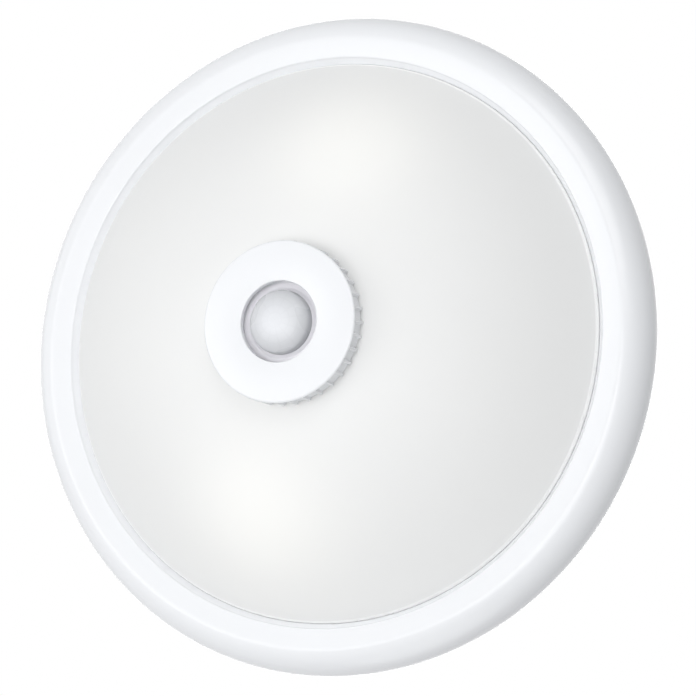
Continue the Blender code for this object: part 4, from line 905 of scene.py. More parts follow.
def housing_plastic():
    """The white plastic, with painted shade: a darker lilac-grey tone painted on the recessed face round the
    lens.
    """
    colours, at = sizes().finishes, Places()
    look = Finish("housing_plastic", colours.white_plastic)
    depth, _, radius = look.around()
    # painted shade: the recessed face inside the nut's window takes the darker recess colour
    inside = look.ranged(radius, at.nut_window, at.nut_window + MILLIMETRE, 1.0, 0.0)
    front = look.ranged(depth, -at.post_face, -at.post_ceiling, 1.0, 0.0)
    recess = look.times(inside, front)
    flow = look.noise(9, 2.0)
    look.bump(look.noise(420, 2.0), 0.02, 0.0003)
    base = look.blended(recess, look.shade(flow, 0.992, 1.004), tuple(colours.recess))
    return look.done(base, look.ranged(flow, 0.2, 0.8, 0.30, 0.36), ior=1.5)


# How far inside the glass's edge its polish and painted highlight start and are full
POLISH_AND_HIGHLIGHT_BAND = 0.0012, 0.0007


def opal_glass():
    """Satin-etched opal glass whose edge band has a fire polish and a painted highlight, and a painted glow
    of the two lamps behind it.
    """
    colours = sizes().finishes
    at = Places()
    look = Finish("opal_glass", colours.opal_glass)
    _, _, radius = look.around()
    polish_and_highlight = look.ranged(radius, *(at.glass_radius - inset for inset in POLISH_AND_HIGHLIGHT_BAND))
    cloud = look.noise(22, 3.0)
    grain = look.noise(2600, 3.0)
    # painted highlight: the edge band is painted lighter; its lower roughness is the polish
    base = look.blended(polish_and_highlight, look.shade(cloud, 0.988, 1.004), look.toned(1.13))
    satin = look.ranged(look.noise(160, 3.0), 0.3, 0.7, 0.47, 0.56)
    roughness = look.plus(satin, look.times(polish_and_highlight, -0.20))
    look.bump(grain, 0.06, 0.00006)
    look.bump(look.noise(36, 1.0), 0.035, 0.0020)
    # painted glow: emission on the glass stands in for the light of the two bulbs, which give none themselves
    glow = None
    depth = at.dome_depth(colours.glow_side)
    for side in (-1, 1):
        middle = (side * colours.glow_side, -side * colours.glow_along, -depth)
        away = look.add("ShaderNodeVectorMath", {0: look.spot, 1: middle}, operation="DISTANCE")
        share = look.math("DIVIDE", away.outputs["Value"], colours.glow_size)
        soft = look.math("EXPONENT", look.times(look.times(share, share), -0.5))
        glow = soft if glow is None else look.plus(glow, soft)
    look.put(look.shader.inputs["Emission Color"], look.blended(glow, BLACK, tuple(colours.lamp_glow)))
    return look.done(base, roughness, emission_strength=colours.glow, ior=1.5)


LENS_RING_PITCH = 0.0034
LENS_SPOKES = 12


def milky_plastic():
    """Milky moulded lens: faint rings and spokes of facets inside a smooth skin, with painted shade darkening
    it towards its edge.
    """
    look = Finish("milky_plastic", sizes().finishes.milky_plastic)
    _, angle_at, radius = look.around()
    rings = look.math("COSINE", look.times(radius, FULL_TURN / LENS_RING_PITCH))
    spokes = look.math("COSINE", look.times(angle_at, LENS_SPOKES))
    facets = look.math("MAXIMUM", rings, spokes)
    seam = look.ranged(facets, 0.70, 1.0)
    look.bump(seam, 0.07, 0.0002)
    edge = sizes().post.lens_radius
    # painted shade: the lens is painted darker from near its middle out to its edge
    painted_edge_shade = look.ranged(radius, 0.15 * edge, edge)
    tone = look.plus(look.times(seam, 0.08), painted_edge_shade)
    haze_and_painted_shade = look.plus(tone, look.times(look.noise(60, 1.0), 0.05))
    gloss = look.ranged(look.noise(60, 1.0), 0.3, 0.7, 0.26, 0.30)
    return look.done(look.shade(haze_and_painted_shade, 0.99, 0.78), gloss, ior=1.49)


def white_enamel():
    """Stove enamel on sheet steel: long orange peel, small pits and a few dull patches."""
    look = Finish("white_enamel", sizes().finishes.white_enamel)
    peel = look.noise(620, 2.0)
    pits = look.ranged(look.cells(520), 0.02, 0.12, 1.0, 0.0)
    look.bump(peel, 0.12, 0.0003)
    look.bump(pits, 0.2, 0.0001)
    tone = look.plus(look.times(look.noise(30, 3.0), 0.8), look.times(pits, -0.4))
    return look.done(look.shade(tone, 0.95, 1.03), look.ranged(look.noise(70, 4.0), 0.35, 0.65, 0.2, 0.36))


def zinc_steel():
    """Zinc plate: spangled tone, dull blooms and drawn scratches."""
    look = Finish("zinc_steel", sizes().finishes.zinc, metallic=1.0)
    spangle = look.cells(900)
    stretched = look.add("ShaderNodeMapping", {"Vector": look.spot, "Scale": (3.0, 40.0, 3.0)}).outputs[0]
    drawn = look.noise(130, 3.0, stretched)
    look.bump(drawn, 0.12, 0.00008)
    tone = look.plus(look.times(spangle, 0.5), look.times(drawn, 0.5))
    return look.done(look.shade(tone, 0.84, 1.12), look.ranged(look.noise(300, 4.0), 0.3, 0.7, 0.26, 0.46))


def white_thermoset():
    """Pressed thermoset: dense, slightly creamy, with dark specks and a dull parting skin."""
    look = Finish("white_thermoset", sizes().finishes.thermoset)
    specks = look.ranged(look.cells(700), 0.03, 0.10, 1.0, 0.0)
    cloud = look.noise(120, 4.0)
    look.bump(look.noise(1300, 3.0), 0.08, 0.0001)
    tone = look.minus(cloud, look.times(specks, 0.5))
    return look.done(look.shade(tone, 0.93, 1.04), look.ranged(cloud, 0.3, 0.7, 0.16, 0.3))


def spun_aluminium():
    """Spun aluminium cap: turning lines and dull finger marks."""
    look = Finish("spun_aluminium", sizes().finishes.aluminium, metallic=1.0)
    lines = look.add("ShaderNodeMapping", {"Vector": look.spot, "Scale": (0.4, 30.0, 0.4)}).outputs[0]
    turned_lines = look.noise(120, 2.0, lines)
    look.bump(turned_lines, 0.15, 0.00006)
    marks = look.noise(210, 4.0)
    return look.done(look.shade(marks, 0.85, 1.08), look.ranged(marks, 0.3, 0.7, 0.24, 0.4))


def black_plastic():
    """Moulded black plastic with a spark-eroded texture."""
    look = Finish("black_plastic", sizes().finishes.black)
    erosion = look.noise(1500, 4.0)
    look.bump(erosion, 0.2, 0.0001)
    return look.done(look.shade(look.noise(180, 3.0), 0.7, 1.6), look.ranged(erosion, 0.3, 0.7, 0.36, 0.52))


WEAVE_TURNS = 9000


def green_fibreglass():
    """Lacquered board: weave under the lacquer and paler tracks in straight runs."""
    look = Finish("green_fibreglass", sizes().finishes.board)
    x, y, _ = look.add("ShaderNodeSeparateXYZ", {"Vector": look.spot}).outputs
    weave = look.times(*(look.math("SINE", look.times(along, WEAVE_TURNS)) for along in (x, y)))
    values = {"Vector": look.spot, "Scale": 260.0, "Randomness": 0.75}
    square = look.add("ShaderNodeTexVoronoi", values, distance="CHEBYCHEV").outputs["Distance"]
    track = look.ranged(square, 0.30, 0.34)
    track = look.times(track, look.ranged(square, 0.40, 0.44, 1.0, 0.0))
    look.bump(track, 0.5, 0.00006)
    look.bump(weave, 0.04, 0.00003)
    lit = look.plus(look.times(track, 0.7), look.times(look.noise(200, 3.0), 0.3))
    return look.done(look.shade(lit, 0.8, 1.9), look.ranged(weave, -1.0, 1.0, 0.28, 0.36))


def clouded(name, colour_name, metallic, tone, relief, shades, roughness):
    """A finish with one noise for its tone and gloss and another for its relief."""
    look = Finish(name, getattr(sizes().finishes, colour_name), metallic)
    cloud = look.noise(*tone)
    look.bump(look.noise(*relief[:2]), *relief[2:])
    return look.done(look.shade(cloud, *shades), look.ranged(cloud, *roughness))


# For each surface: scale and detail of the tone; scale, detail, strength and height of the relief;
# darkest and palest tone; the two tones between which the roughness runs, and the roughness at each
RUBBER = (240, 5), (1900, 3, 0.3, 0.00012), (0.75, 1.5), (0.3, 0.7, 0.72, 0.9)
TARNISH = (260, 5), (2200, 2, 0.08, 0.00005), (0.72, 1.12), (0.3, 0.7, 0.42, 0.22)
INNER_COATING = (90, 4), (2400, 2, 0.06, 0.00005), (0.96, 1.04), (0.3, 0.7, 0.3, 0.42)
RIPPLES = (520, 3), (520, 3, 0.35, 0.0002), (0.8, 1.12), (0.3, 0.7, 0.28, 0.48)
WAXY = (150, 4), (1100, 2, 0.07, 0.0001), (0.93, 1.05), (0.3, 0.7, 0.36, 0.52)
MOULDED = (260, 4), (1700, 3, 0.1, 0.0001), (0.8, 1.25), (0.3, 0.7, 0.3, 0.46)
SCUFFED = (420, 5), (900, 2, 0.12, 0.00012), (0.75, 1.35), (0.35, 0.65, 0.34, 0.55)

# For each finish: its colour's property, whether it is metal, and its surface
CLOUDED = {
    "grey_rubber": ("grey_rubber", 0, *RUBBER),
    "brass": ("brass", 1, *TARNISH),
    "frosted_glass": ("frosted", 0, *INNER_COATING),
    "solder": ("solder", 1, *RIPPLES),
    "nylon": ("nylon", 0, *WAXY),
    "blue_plastic": ("blue", 0, *MOULDED),
    "amber_plastic": ("amber", 0, *MOULDED),
    "knob_plastic": ("knob_grey", 0, *MOULDED),
    "brown_insulation": ("brown", 0, *SCUFFED),
    "blue_insulation": ("blue", 0, *SCUFFED),
}
FINISHES = {make.__name__: make for make in (
    white_plastic, housing_plastic, opal_glass, milky_plastic, white_enamel, zinc_steel, white_thermoset,
    spun_aluminium, black_plastic, green_fibreglass,
)}


def finish_of(name):
    """A finish by its name, built the first time it is asked for."""
    held = bpy.data.materials.get(name + "_finish")
    return held or (FINISHES[name]() if name in FINISHES else clouded(name, *CLOUDED[name]))


# Pan, plate and what holds them

CROWN_STEPS = 8
CROWN_BOW = 1.2


def pan_outline(pan, at):
    """Section of the pan: back, hollow rim, rolled front, crown, lip, ledge, groove and floor."""
    hollow = pan.roll_radius - pan.wall
    lip = at.channel + pan.ledge_width
    foot = pan.outer_radius - pan.foot_inset
    ledge = at.crest - pan.ledge_drop
    behind = at.channel_floor - pan.wall
    flat = 5 * pan.edge_round
    step = at.floor_radius + pan.wall
    wall = at.channel + pan.wall
    points = [(0, 0), (step - flat, 0), (step, 0), (step, behind), (wall, behind), (wall, ledge - pan.wall)]
    points += [(lip + pan.wall, ledge + pan.ledge_rise - pan.wall)]
    centre = at.rim_middle, pan.widest_depth
    points += arc(*centre, hollow, hollow, QUARTER_TURN, 0, 14)
    points += arc(*centre, hollow, pan.widest_depth, 0, pan.hollow_arc_end, 10)[1:]
    points += [(foot - pan.foot_width, 0), (foot, 0)]
    points += arc(*centre, pan.roll_radius, pan.widest_depth, pan.foot_arc_end, 0, 14)
    points += arc(*centre, pan.roll_radius, pan.roll_radius, 0, pan.crown_arc_end, 26)[1:]
    top, depth = points[-1]
    crown = lip + pan.lip_slope + pan.lip_round
    for i in range(1, CROWN_STEPS + 1):
        share = i / CROWN_STEPS
        points.append((top + (crown - top) * share, depth - pan.lip_fall * share**CROWN_BOW))
    turn = depth - pan.lip_fall - pan.lip_round
    points += arc(crown, turn, -pan.lip_round, pan.lip_round, QUARTER_TURN, 0, 6)[1:]
    edge = at.glass_radius + pan.ledge_gap
    bead = at.glass_waist + pan.seat_gap * 1.5
    seat = at.waist_depth - pan.seat_gap / 2
    points += [(lip, ledge + pan.ledge_rise), (edge, ledge - pan.ledge_fall), (edge, seat + pan.bead)]
    points += [(bead, seat), (bead, seat - pan.bead), (at.channel, seat - pan.bead)]
    points += [(at.channel, at.channel_floor), (at.floor_radius, at.channel_floor)]
    return points + [(at.floor_radius, at.floor), (at.floor_radius - flat, at.floor), (0, at.floor)]


def slot_cutter(pan, at, y):
    """A round-ended slot along Y through the pan's floor."""
    end = pan.slot_width / 2
    reach = pan.slot_length / 2 - end
    outline = []
    for side, start in ((1, 0.0), (-1, HALF_TURN)):
        outline += arc(0, side * reach, end, end, start, start + HALF_TURN, 16)
    return prism("cutter", outline, 3 * at.floor, placed(0, y, -at.floor / 2))


def spots_on(radius, angles):
    """(x, y, turn) of things on one circle, from angles in degrees."""
    return [(*on_circle(radius, math.radians(a)), math.radians(a)) for a in angles]


class LIGHT_OT_base_pan(bpy.types.Operator):
    """Make the base pan with its rolled rim, bosses, fixing slots and cable hole"""

    bl_idname = "ceiling_light.base_pan"
    bl_label = "Base pan"

    def execute(self, context):
        pan, at = sizes().pan, Places()
        body = turned("base_pan_fine", eased(pan_outline(pan, at), pan.edge_round), pan.segments)
        boss_top = at.floor + pan.plate_boss_height
        bosses, holes = [], []
        for x, y, _ in spots_on(at.plate_screws, PLATE_SCREW_ANGLES):
            bosses.append(hole_at(pan.plate_boss_radius, at.floor / 2, boss_top, x, y, 40))
            holes.append(hole_at(at.hole, pan.boss_floor, boss_top + at.floor, x, y, 20))
        holes += [slot_cutter(pan, at, y) for y in (at.slots, -at.slots)]
        holes.append(hole_at(pan.cable_radius, -at.floor, 2 * at.floor, *at.cable, 48))
        shaped(body, additions=[merged(bosses)])
        shaped(body, cutters=[merged(holes)])
        settle(body, "white_plastic")
        return {"FINISHED"}


class LIGHT_OT_cable_grommet(bpy.types.Operator):
    """Make the rubber grommet in the cable hole"""

    bl_idname = "ceiling_light.cable_grommet"
    bl_label = "Cable grommet"

    def execute(self, context):
        pan, at = sizes().pan, Places()
        edge = pan.cable_radius - at.gap
        top = at.floor + at.gap
        lip = edge + pan.grommet_lip
        front = top + pan.grommet_lip
        outline = [(pan.grommet_bore, 0), (edge, 0), (edge, top), (lip, top), (lip, front)]
        outline += [(pan.grommet_bore, front)]
        ring = turned("cable_grommet_fine", eased(outline, pan.edge_round * 1.5, 4), 64, placed(*at.cable))
        settle(ring, "grey_rubber")
        return {"FINISHED"}


class LIGHT_OT_reflector_plate(bpy.types.Operator):
    """Make the enamelled reflector plate with its raised lip and holes"""

    bl_idname = "ceiling_light.reflector_plate"
    bl_label = "Reflector plate"

    def execute(self, context):
        pan, plate, lamp, at = sizes().pan, sizes().plate, sizes().lamp, Places()
        edge = at.floor_radius - plate.edge_margin
        flat = at.plate_flat
        lip = at.plate_back + plate.lip_rise
        inner, front_lip = edge - plate.thickness, at.plate_front + plate.lip_rise
        reach = plate.lip_rise / 3
        outline = [(0, at.plate_back)]
        outline += bend(outline[0], (flat, at.plate_back), (edge, lip), reach, 6)
        outline += [(edge, lip), (inner, front_lip)]
        outline += bend(outline[-1], (flat - plate.thickness, at.plate_front), (0, at.plate_front), reach, 6)
        outline += [(0, at.plate_front)]
        sheet = turned("reflector_plate_fine", eased(outline, plate.thickness / 4, 2), 160)
        spots = [(at.hole, x, y) for x, y, _ in spots_on(at.plate_screws, PLATE_SCREW_ANGLES)]
        spots += [(at.hole, x, y) for x, y, _ in spots_on(at.post_screws, POST_SCREW_ANGLES)]
        spots += [(plate.access, 0, y) for y in (at.slots, -at.slots)]
        spots += [(pan.cable_radius + pan.grommet_lip + at.gap, *at.cable)]
        spots += [(at.hole, x, y) for x, y in rivet_places(plate, lamp, at)]
        low, high = at.plate_back - plate.thickness, at.plate_front + plate.thickness
        cutters = [hole_at(radius, low, high, x, y, 48 if radius > at.hole else 20) for radius, x, y in spots]
        shaped(sheet, cutters=[merged(cutters)])
        settle(sheet, "white_enamel")
        return {"FINISHED"}


# Shares of a screw head's radius, across and down from its top, and of its slot's width and depth
HEAD_CROWN_SHARES = ((0.0, 0.0), (0.55, 0.02), (0.85, 0.14))
SLOT_WIDTH_SHARE = 0.8
SLOT_DEPTH_SHARE = 0.9


def screw_part(name, plate, seat, tail):
    """A pan-head screw with a driver slot, on the Z axis with its head towards the room."""
    head = seat + plate.head_height
    radius = plate.head_radius
    outline = [(radius * across, head - radius * down) for across, down in HEAD_CROWN_SHARES]
    outline += [(radius, head - plate.head_height / 2), (radius, seat), (plate.shank, seat)]
    outline += [(plate.shank, tail + plate.tip), (0, tail)]
    screw = turned(name, eased(outline, plate.tip / 4, 3), 32)
    size = (2 * radius + plate.tip, plate.tip * SLOT_WIDTH_SHARE, plate.head_height * SLOT_DEPTH_SHARE)
    return shaped(screw, cutters=[brick("slot", size, placed(0, 0, -head))])


class LIGHT_OT_screws(bpy.types.Operator):
    """Make the screws of the plate and of the sensor housing"""

    bl_idname = "ceiling_light.screws"
    bl_label = "Plate and housing screws"

    def execute(self, context):
        pan, plate, at = sizes().pan, sizes().plate, Places()
        in_plate = spots_on(at.plate_screws, PLATE_SCREW_ANGLES)
        in_housing = spots_on(at.post_screws, POST_SCREW_ANGLES)
        for label, spots, seat, tail in (
            ("plate_screw", in_plate, at.shelf, pan.boss_floor + at.gap),
            ("housing_screw", in_housing, at.flange + at.gap, at.plate_back - plate.post_tail),
        ):
            made = spread(label + "s_fine", screw_part("screw", plate, seat, tail), spots, "zinc_steel")
            settle(made, "zinc_steel", nodes=[f"{label}_{i}" for i in (1, 2, 3)])
        return {"FINISHED"}


def rivet_places(plate, lamp, at):
    """Where the rivets of both brackets stand on the plate."""
    foot_middle = at.lamp_back + at.gap + lamp.bracket - lamp.bracket_foot / 2
    steps = (-plate.rivet_spacing / 2, plate.rivet_spacing / 2)
    return [(side * at.lamp_side + step, side * foot_middle) for _, side in STATIONS for step in steps]


class LIGHT_OT_rivets(bpy.types.Operator):
    """Make the four rivets of the brackets"""

    bl_idname = "ceiling_light.rivets"
    bl_label = "Bracket rivets"

    def execute(self, context):
        plate, lamp, at = sizes().plate, sizes().lamp, Places()
        seat = at.shelf + lamp.bracket + at.gap
        tail = at.plate_back - at.gap
        outline = arc(0, seat, plate.rivet_head, plate.rivet_height, QUARTER_TURN, 0, 8)
        outline[0] = (0, seat + plate.rivet_height)
        end = tail - plate.rivet_tail_height
        outline += [(plate.shank, seat), (plate.shank, tail), (plate.rivet_tail, tail)]
        outline += [(plate.rivet_tail, end), (0, end)]
        part = turned("rivet", eased(outline, plate.rivet_height / 5, 2), 28)
        spots = [(x, y, 0.0) for x, y in rivet_places(plate, lamp, at)]
        made = spread("bracket_rivets_fine", part, spots, "zinc_steel")
        settle(made, "zinc_steel", nodes=[f"bracket_rivet_{i}" for i in (1, 2, 3, 4)])
        return {"FINISHED"}


# Glass, gasket, washer and nut

class LIGHT_OT_rings(bpy.types.Operator):
    """Make the gasket under the glass and the washer under the nut"""

    bl_idname = "ceiling_light.rings"
    bl_label = "Gasket and washer"

    def execute(self, context):
        shade, at = sizes().shade, Places()
        inner = at.glass_radius - shade.thickness - shade.gasket_inner
        outer = at.channel - shade.gasket_outer
        front = at.gasket + shade.gasket_thickness
        gasket = eased(band(inner, outer, at.gasket, front), at.gap)
        settle(turned("glass_gasket_fine", gasket, 160), "grey_rubber")
        washer = eased(band(at.washer_inner, at.washer_outer, at.washer_back, at.washer_front), at.gap)
        settle(turned("nut_washer_fine", washer, 96), "grey_rubber", "shade")
        return {"FINISHED"}


def dome_line(shade, at, start, end, inset):
    """Points along the dome between two radii, evenly spaced by angle about its middle."""
    shell = at.dome_radius - inset
    first, last = math.asin(start / shell), math.asin(end / shell)
    points = []
    for i in range(shade.arc_steps + 1):
        turn = first + (last - first) * i / shade.arc_steps
        points.append((shell * math.sin(turn), at.dome_centre + shell * math.cos(turn)))
    return points


# Shares of the glass's collar, of its shoulder, of its waist and of its thickness
SHOULDER_SHARE = 0.38
SHOULDER_FREE_SHARE = 0.9
WAIST_SLOPE_SHARE = 0.8
GLASS_ROUND_SHARE = 0.3


class LIGHT_OT_glass_shade(bpy.types.Operator):
    """Make the opal glass dome with its rim and centre hole; its finish gives the rim polish and a painted
    highlight
    """

    bl_idname = "ceiling_light.glass_shade"
    bl_label = "Glass shade"

    def execute(self, context):
        shade, at = sizes().shade, Places()
        inner_edge = at.glass_radius - shade.thickness
        shoulder = shade.collar_height * SHOULDER_SHARE
        outside = dome_line(shade, at, at.glass_radius, at.glass_hole, 0.0)
        corner = outside[0]
        rest = [point for point in outside if at.glass_radius - point[0] > shoulder * SHOULDER_FREE_SHARE]
        outline = [(at.glass_waist, at.glass_edge), (at.glass_waist, at.waist_depth)]
        outline += [(at.glass_radius, at.waist_depth + shade.waist * WAIST_SLOPE_SHARE)]
        outline += bend(outline[-1], corner, rest[0], shoulder, 8)
        outline += rest
        outline += dome_line(shade, at, at.glass_hole, inner_edge, shade.thickness)
        outline += [(inner_edge, at.glass_edge)]
        outline = eased(outline, shade.thickness * GLASS_ROUND_SHARE, 5)
        settle(turned("glass_shade_fine", outline, sizes().pan.segments), "opal_glass", "shade")
        return {"FINISHED"}


STEPS_FOR_A_RIB = 12
# Where the knurl starts past the face's rounding and how softly, as shares of that rounding
KNURL_START_SHARE = 0.4
KNURL_SOFT_SHARE = 0.5


class LIGHT_OT_retaining_nut(bpy.types.Operator):
    """Make the retaining nut with its ribbed side and the window for the lens"""

    bl_idname = "ceiling_light.retaining_nut"
    bl_label = "Retaining nut"

    def execute(self, context):
        nut, at = sizes().nut, Places()
        radius, face = at.nut_radius, nut.face_depth
        side_start = at.nut_foot + nut.foot_chamfer
        ease = nut.edge_round
        side_end = face - ease
        outline = [(at.nut_skirt, at.nut_foot), (radius - nut.foot_chamfer, at.nut_foot)]
        outline += [(radius, depth) for depth in rows(side_start, side_end, nut.foot_chamfer)]
        outline += arc(radius - ease, side_end, ease, ease, 0, QUARTER_TURN, 7)[1:]
        inner = (at.nut_window, at.nut_cavity)
        outline += bend(outline[-1], (at.nut_window, face), inner, nut.window_chamfer, 4)
        outline += [inner, (at.nut_bore, at.nut_cavity), (at.nut_bore, at.nut_shoulder)]
        outline += [(at.nut_skirt, at.nut_shoulder)]
        cap = turned("retaining_nut_fine", outline, STEPS_FOR_A_RIB * nut.rib_count)
        values = {
            "Ribs": nut.rib_count, "Rib Depth": nut.rib_cut, "Rib Share": nut.rib_share,
            "Low": -side_end - ease * KNURL_START_SHARE, "High": -at.nut_foot + nut.foot_chamfer,
            "Soft": ease * KNURL_SOFT_SHARE, "Beyond": (radius + at.nut_bore) / 2,
            "Material": finish_of("white_plastic"),
        }
        settle(grown(cap, knurl_tree(), values, sharp=45), "white_plastic", "nut")
        return {"FINISHED"}


# Sensor

COLLAR_SHARE = 0.8
ROWS_FOR_A_TURN = 12


def housing_outline(post, at):
    """Section of the housing: foot flange, straight post, recessed top, lens socket and bore."""
    root, pitch = at.post_body, post.thread_pitch
    thread_top = at.post_rim - post.thread_height
    thread_foot = thread_top - post.thread_turns * pitch
    points = [(at.post_bore, at.shelf), (at.flange_radius, at.shelf), (at.flange_radius, at.flange)]
    points += bend(points[-1], (root, at.flange), (root, thread_foot), post.flange, 5)
    points += [(root, depth) for depth in rows(thread_foot - pitch, thread_top, pitch / ROWS_FOR_A_TURN)]
    hole = post.lens_radius + post.lens_hole
    rim = root - post.rim_wall
    socket, socket_foot = at.lens_socket + post.socket_wall, at.post_ceiling - post.socket_height
    ledge = at.board_front + at.gap
    points += [(root, at.post_rim), (rim, at.post_rim), (rim, at.post_face)]
    points += [(hole + post.collar, at.post_face), (hole, at.post_face + post.collar * COLLAR_SHARE)]
    points += [(hole, at.post_ceiling), (at.lens_socket, at.post_ceiling), (at.lens_socket, socket_foot)]
    points += [(socket, socket_foot), (socket, at.post_ceiling), (at.post_upper_bore, at.post_ceiling)]
    points += [(at.post_upper_bore, ledge), (at.post_bore, ledge)]
    return points, -thread_top, -thread_foot


class LIGHT_OT_sensor_housing(bpy.types.Operator):
    """Make the sensor housing with its thread, recessed top and openings"""

    bl_idname = "ceiling_light.sensor_housing"
    bl_label = "Sensor housing"

    def execute(self, context):
        post, at = sizes().post, Places()
        outline, low, high = housing_outline(post, at)
        body = turned("sensor_housing_fine", eased(outline, at.gap, 2), 120)
        values = {
            "Pitch": post.thread_pitch, "Height": post.thread_height, "Low": low, "High": high,
            "Soft": post.thread_pitch / 3, "Beyond": at.post_body - at.gap,
            "Material": finish_of("white_plastic"),
        }
        body = grown(body, thread_tree(), values)
        cutters = []
        for x, y, _ in spots_on(at.knobs, KNOB_ANGLES.values()):
            low, high = at.post_ceiling - post.top, at.post_face + post.top
            cutters.append(hole_at(post.knob_shaft + at.gap, low, high, x, y, 32))
        for x, y, _ in spots_on(at.post_screws, POST_SCREW_ANGLES):
            cutters.append(hole_at(at.hole, at.shelf - post.flange, at.flange + post.flange, x, y))
        for x, y, turn in spots_on(at.post_body - post.wall / 2, WINDOW_ANGLES):
            place = placed(x, y, -post.window_depth, (0, QUARTER_TURN, turn))
            cutters.append(post_of(post.window, -post.wall, post.wall, 36, place))
        shaped(body, cutters=[merged(cutters)])
        settle(body, "white_plastic", finish="housing_plastic")
        return {"FINISHED"}


class LIGHT_OT_lens(bpy.types.Operator):
    """Make the domed lens and the clip behind it"""

    bl_idname = "ceiling_light.lens"
    bl_label = "Lens and clip"

    def execute(self, context):
        post, at = sizes().post, Places()
        equator = at.lens_apex - post.lens_dome
        inner = post.lens_radius - post.lens_wall
        flange = at.post_ceiling - at.gap
        flange_back = flange - post.lens_flange_thickness
        edge = post.lens_radius + post.lens_flange
        outline = [(inner, flange_back), (edge, flange_back), (edge, flange), (post.lens_radius, flange)]
        outline += arc(0, equator, post.lens_radius, post.lens_dome, 0, QUARTER_TURN, 24)[:-1]
        outline += [(0, at.lens_apex), (0, at.lens_apex - post.lens_wall)]
        outline += arc(0, equator, inner, post.lens_dome - post.lens_wall, QUARTER_TURN, 0, 20)[1:]
        dome = turned("fresnel_lens_fine", eased(outline, at.gap, 2), 96)
        settle(dome, "milky_plastic")
        front = flange_back - at.gap
        outer = at.lens_socket - at.gap
        clip = eased(band(outer - post.clip_width, outer, front - post.clip, front), at.gap)
        settle(turned("lens_clip_fine", clip, 72), "milky_plastic")
        return {"FINISHED"}


# A knob's slot as shares of the head's radius, across and along, and of its height
KNOB_SLOT_SHARES = (3, 0.31, 0.93)


class LIGHT_OT_knobs(bpy.types.Operator):
    """Make the two setting knobs and the trimmers under them"""

    bl_idname = "ceiling_light.knobs"
    bl_label = "Setting knobs"

    def execute(self, context):
        post, at = sizes().post, Places()
        front = at.board_front + at.gap
        foot = front + post.trimmer + at.gap
        head = at.post_face + at.gap
        top = head + post.knob_head_height
        outline = [(0, foot), (post.knob_shaft, foot), (post.knob_shaft, head), (post.knob_head, head)]
        outline = eased(outline + [(post.knob_head, top), (0, top)], at.gap)
        scale = (post.knob_head, post.knob_head, post.knob_head_height)
        size = tuple(share * whole for share, whole in zip(KNOB_SLOT_SHARES, scale))
        side = post.trimmer_side
        for label, (x, y, turn) in zip(KNOB_ANGLES, spots_on(at.knobs, KNOB_ANGLES.values())):
            knob = turned(label + "_knob_fine", outline, 40, placed(x, y))
            shaped(knob, cutters=[brick("slot", size, placed(x, y, -top, (0, 0, turn)))])
            settle(knob, "amber_plastic", label + "_knob", finish="knob_plastic")
            middle = placed(x, y, -front - post.trimmer / 2, (0, 0, turn))
            settle(brick(label + "_trimmer_fine", (side, side, post.trimmer), middle, at.gap), "blue_plastic")
        return {"FINISHED"}


def box_of(node):
    """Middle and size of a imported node's box."""
    low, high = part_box(node)
    return (low + high) / 2, high - low


# Shares of a part's whole height or radius: heat sensor's can, light sensor's bead, capacitor's sleeve
CAN_FLANGE, CAN_WINDOW, CAN_SIDE, CAN_OPENING = 0.14, 0.93, 0.885, 0.62
BEAD_DOME, BEAD_SIDE = 0.55, 0.9
SLEEVE_WAIST, SLEEVE_EDGE, SLEEVE_PAD = 0.93, 0.8, 0.78
SLEEVE_GROOVE = (0.10, 0.13, 0.16, 0.19)
# Node, slot and rounding in millimetres
BOXED_PARTS = (("relay", "black_plastic", 0.8), ("film_capacitor", "amber_plastic", 3.0))


class LIGHT_OT_board(bpy.types.Operator):
    """Make the circuit board, the two sensors, the relay and the capacitors"""

    bl_idname = "ceiling_light.board"
    bl_label = "Board and its parts"

    def execute(self, context):
        at = Places()
        radius = box_of("sensor_board")[1].x / 2
        outline = eased(band(0, radius, at.board_back, at.board_front), at.gap / 2, 2)
        settle(turned("sensor_board_fine", outline, 96), "green_fibreglass")
        self.make_can(at)
        self.make_light_sensor()
        self.make_capacitor(at)
        for node, slot_name, edge in BOXED_PARTS:
            middle, size = box_of(node)
            settle(brick(node + "_fine", tuple(size), placed(*middle), edge * MILLIMETRE, 4), slot_name)
        return {"FINISHED"}

    def make_can(self, at):
        middle, size = box_of("pyro_sensor")
        flange, height = size.x / 2, size.z
        back = -middle.z - height / 2
        front, flange_front, window = (back + height * share for share in (1, CAN_FLANGE, CAN_WINDOW))
        radius = flange * CAN_SIDE
        opening = radius * CAN_OPENING
        outline = [(0, back), (flange, back), (flange, flange_front), (radius, flange_front), (radius, front)]
        outline += [(opening, front), (opening, window), (0, window)]
        settle(turned("pyro_sensor_fine", eased(outline, at.gap), 56), "zinc_steel")

    def make_light_sensor(self):
        middle, size = box_of("light_sensor")
        radius, height = size.x / 2, size.z
        back = -middle.z - height / 2
        dome = height * BEAD_DOME
        collar = back + height - dome
        outline = [(0, back), (radius, back), (radius, collar)]
        outline += arc(0, collar, radius * BEAD_SIDE, dome, 0, QUARTER_TURN, 8)[:-1]
        outline += [(0, back + height)]
        settle(turned("light_sensor_fine", outline, 32, placed(middle.x, middle.y)), "amber_plastic")

    def make_capacitor(self, at):
        middle, size = box_of("smoothing_capacitor")
        radius, height = size.x / 2, size.z
        low = middle.z - height / 2
        high = low + height
        waist, edge, pad = (radius * share for share in (SLEEVE_WAIST, SLEEVE_EDGE, SLEEVE_PAD))
        groove = [low + height * share for share in SLEEVE_GROOVE]
        outline = [(0, low), (radius, low), *zip((radius, waist, waist, radius), groove)]
        outline += [(radius, high), (edge, high), (pad, high - at.gap), (0, high - at.gap)]
        place = placed(middle.x, middle.y)
        can = turned("smoothing_capacitor_fine", eased(outline, at.gap), 48, place, hanging=False)
        settle(can, "blue_plastic")


# Lamps

# Rounding of the bracket's bend, as shares of its sheet
INNER_BEND_SHARE = 0.4
OUTER_BEND_SHARE = 1.2


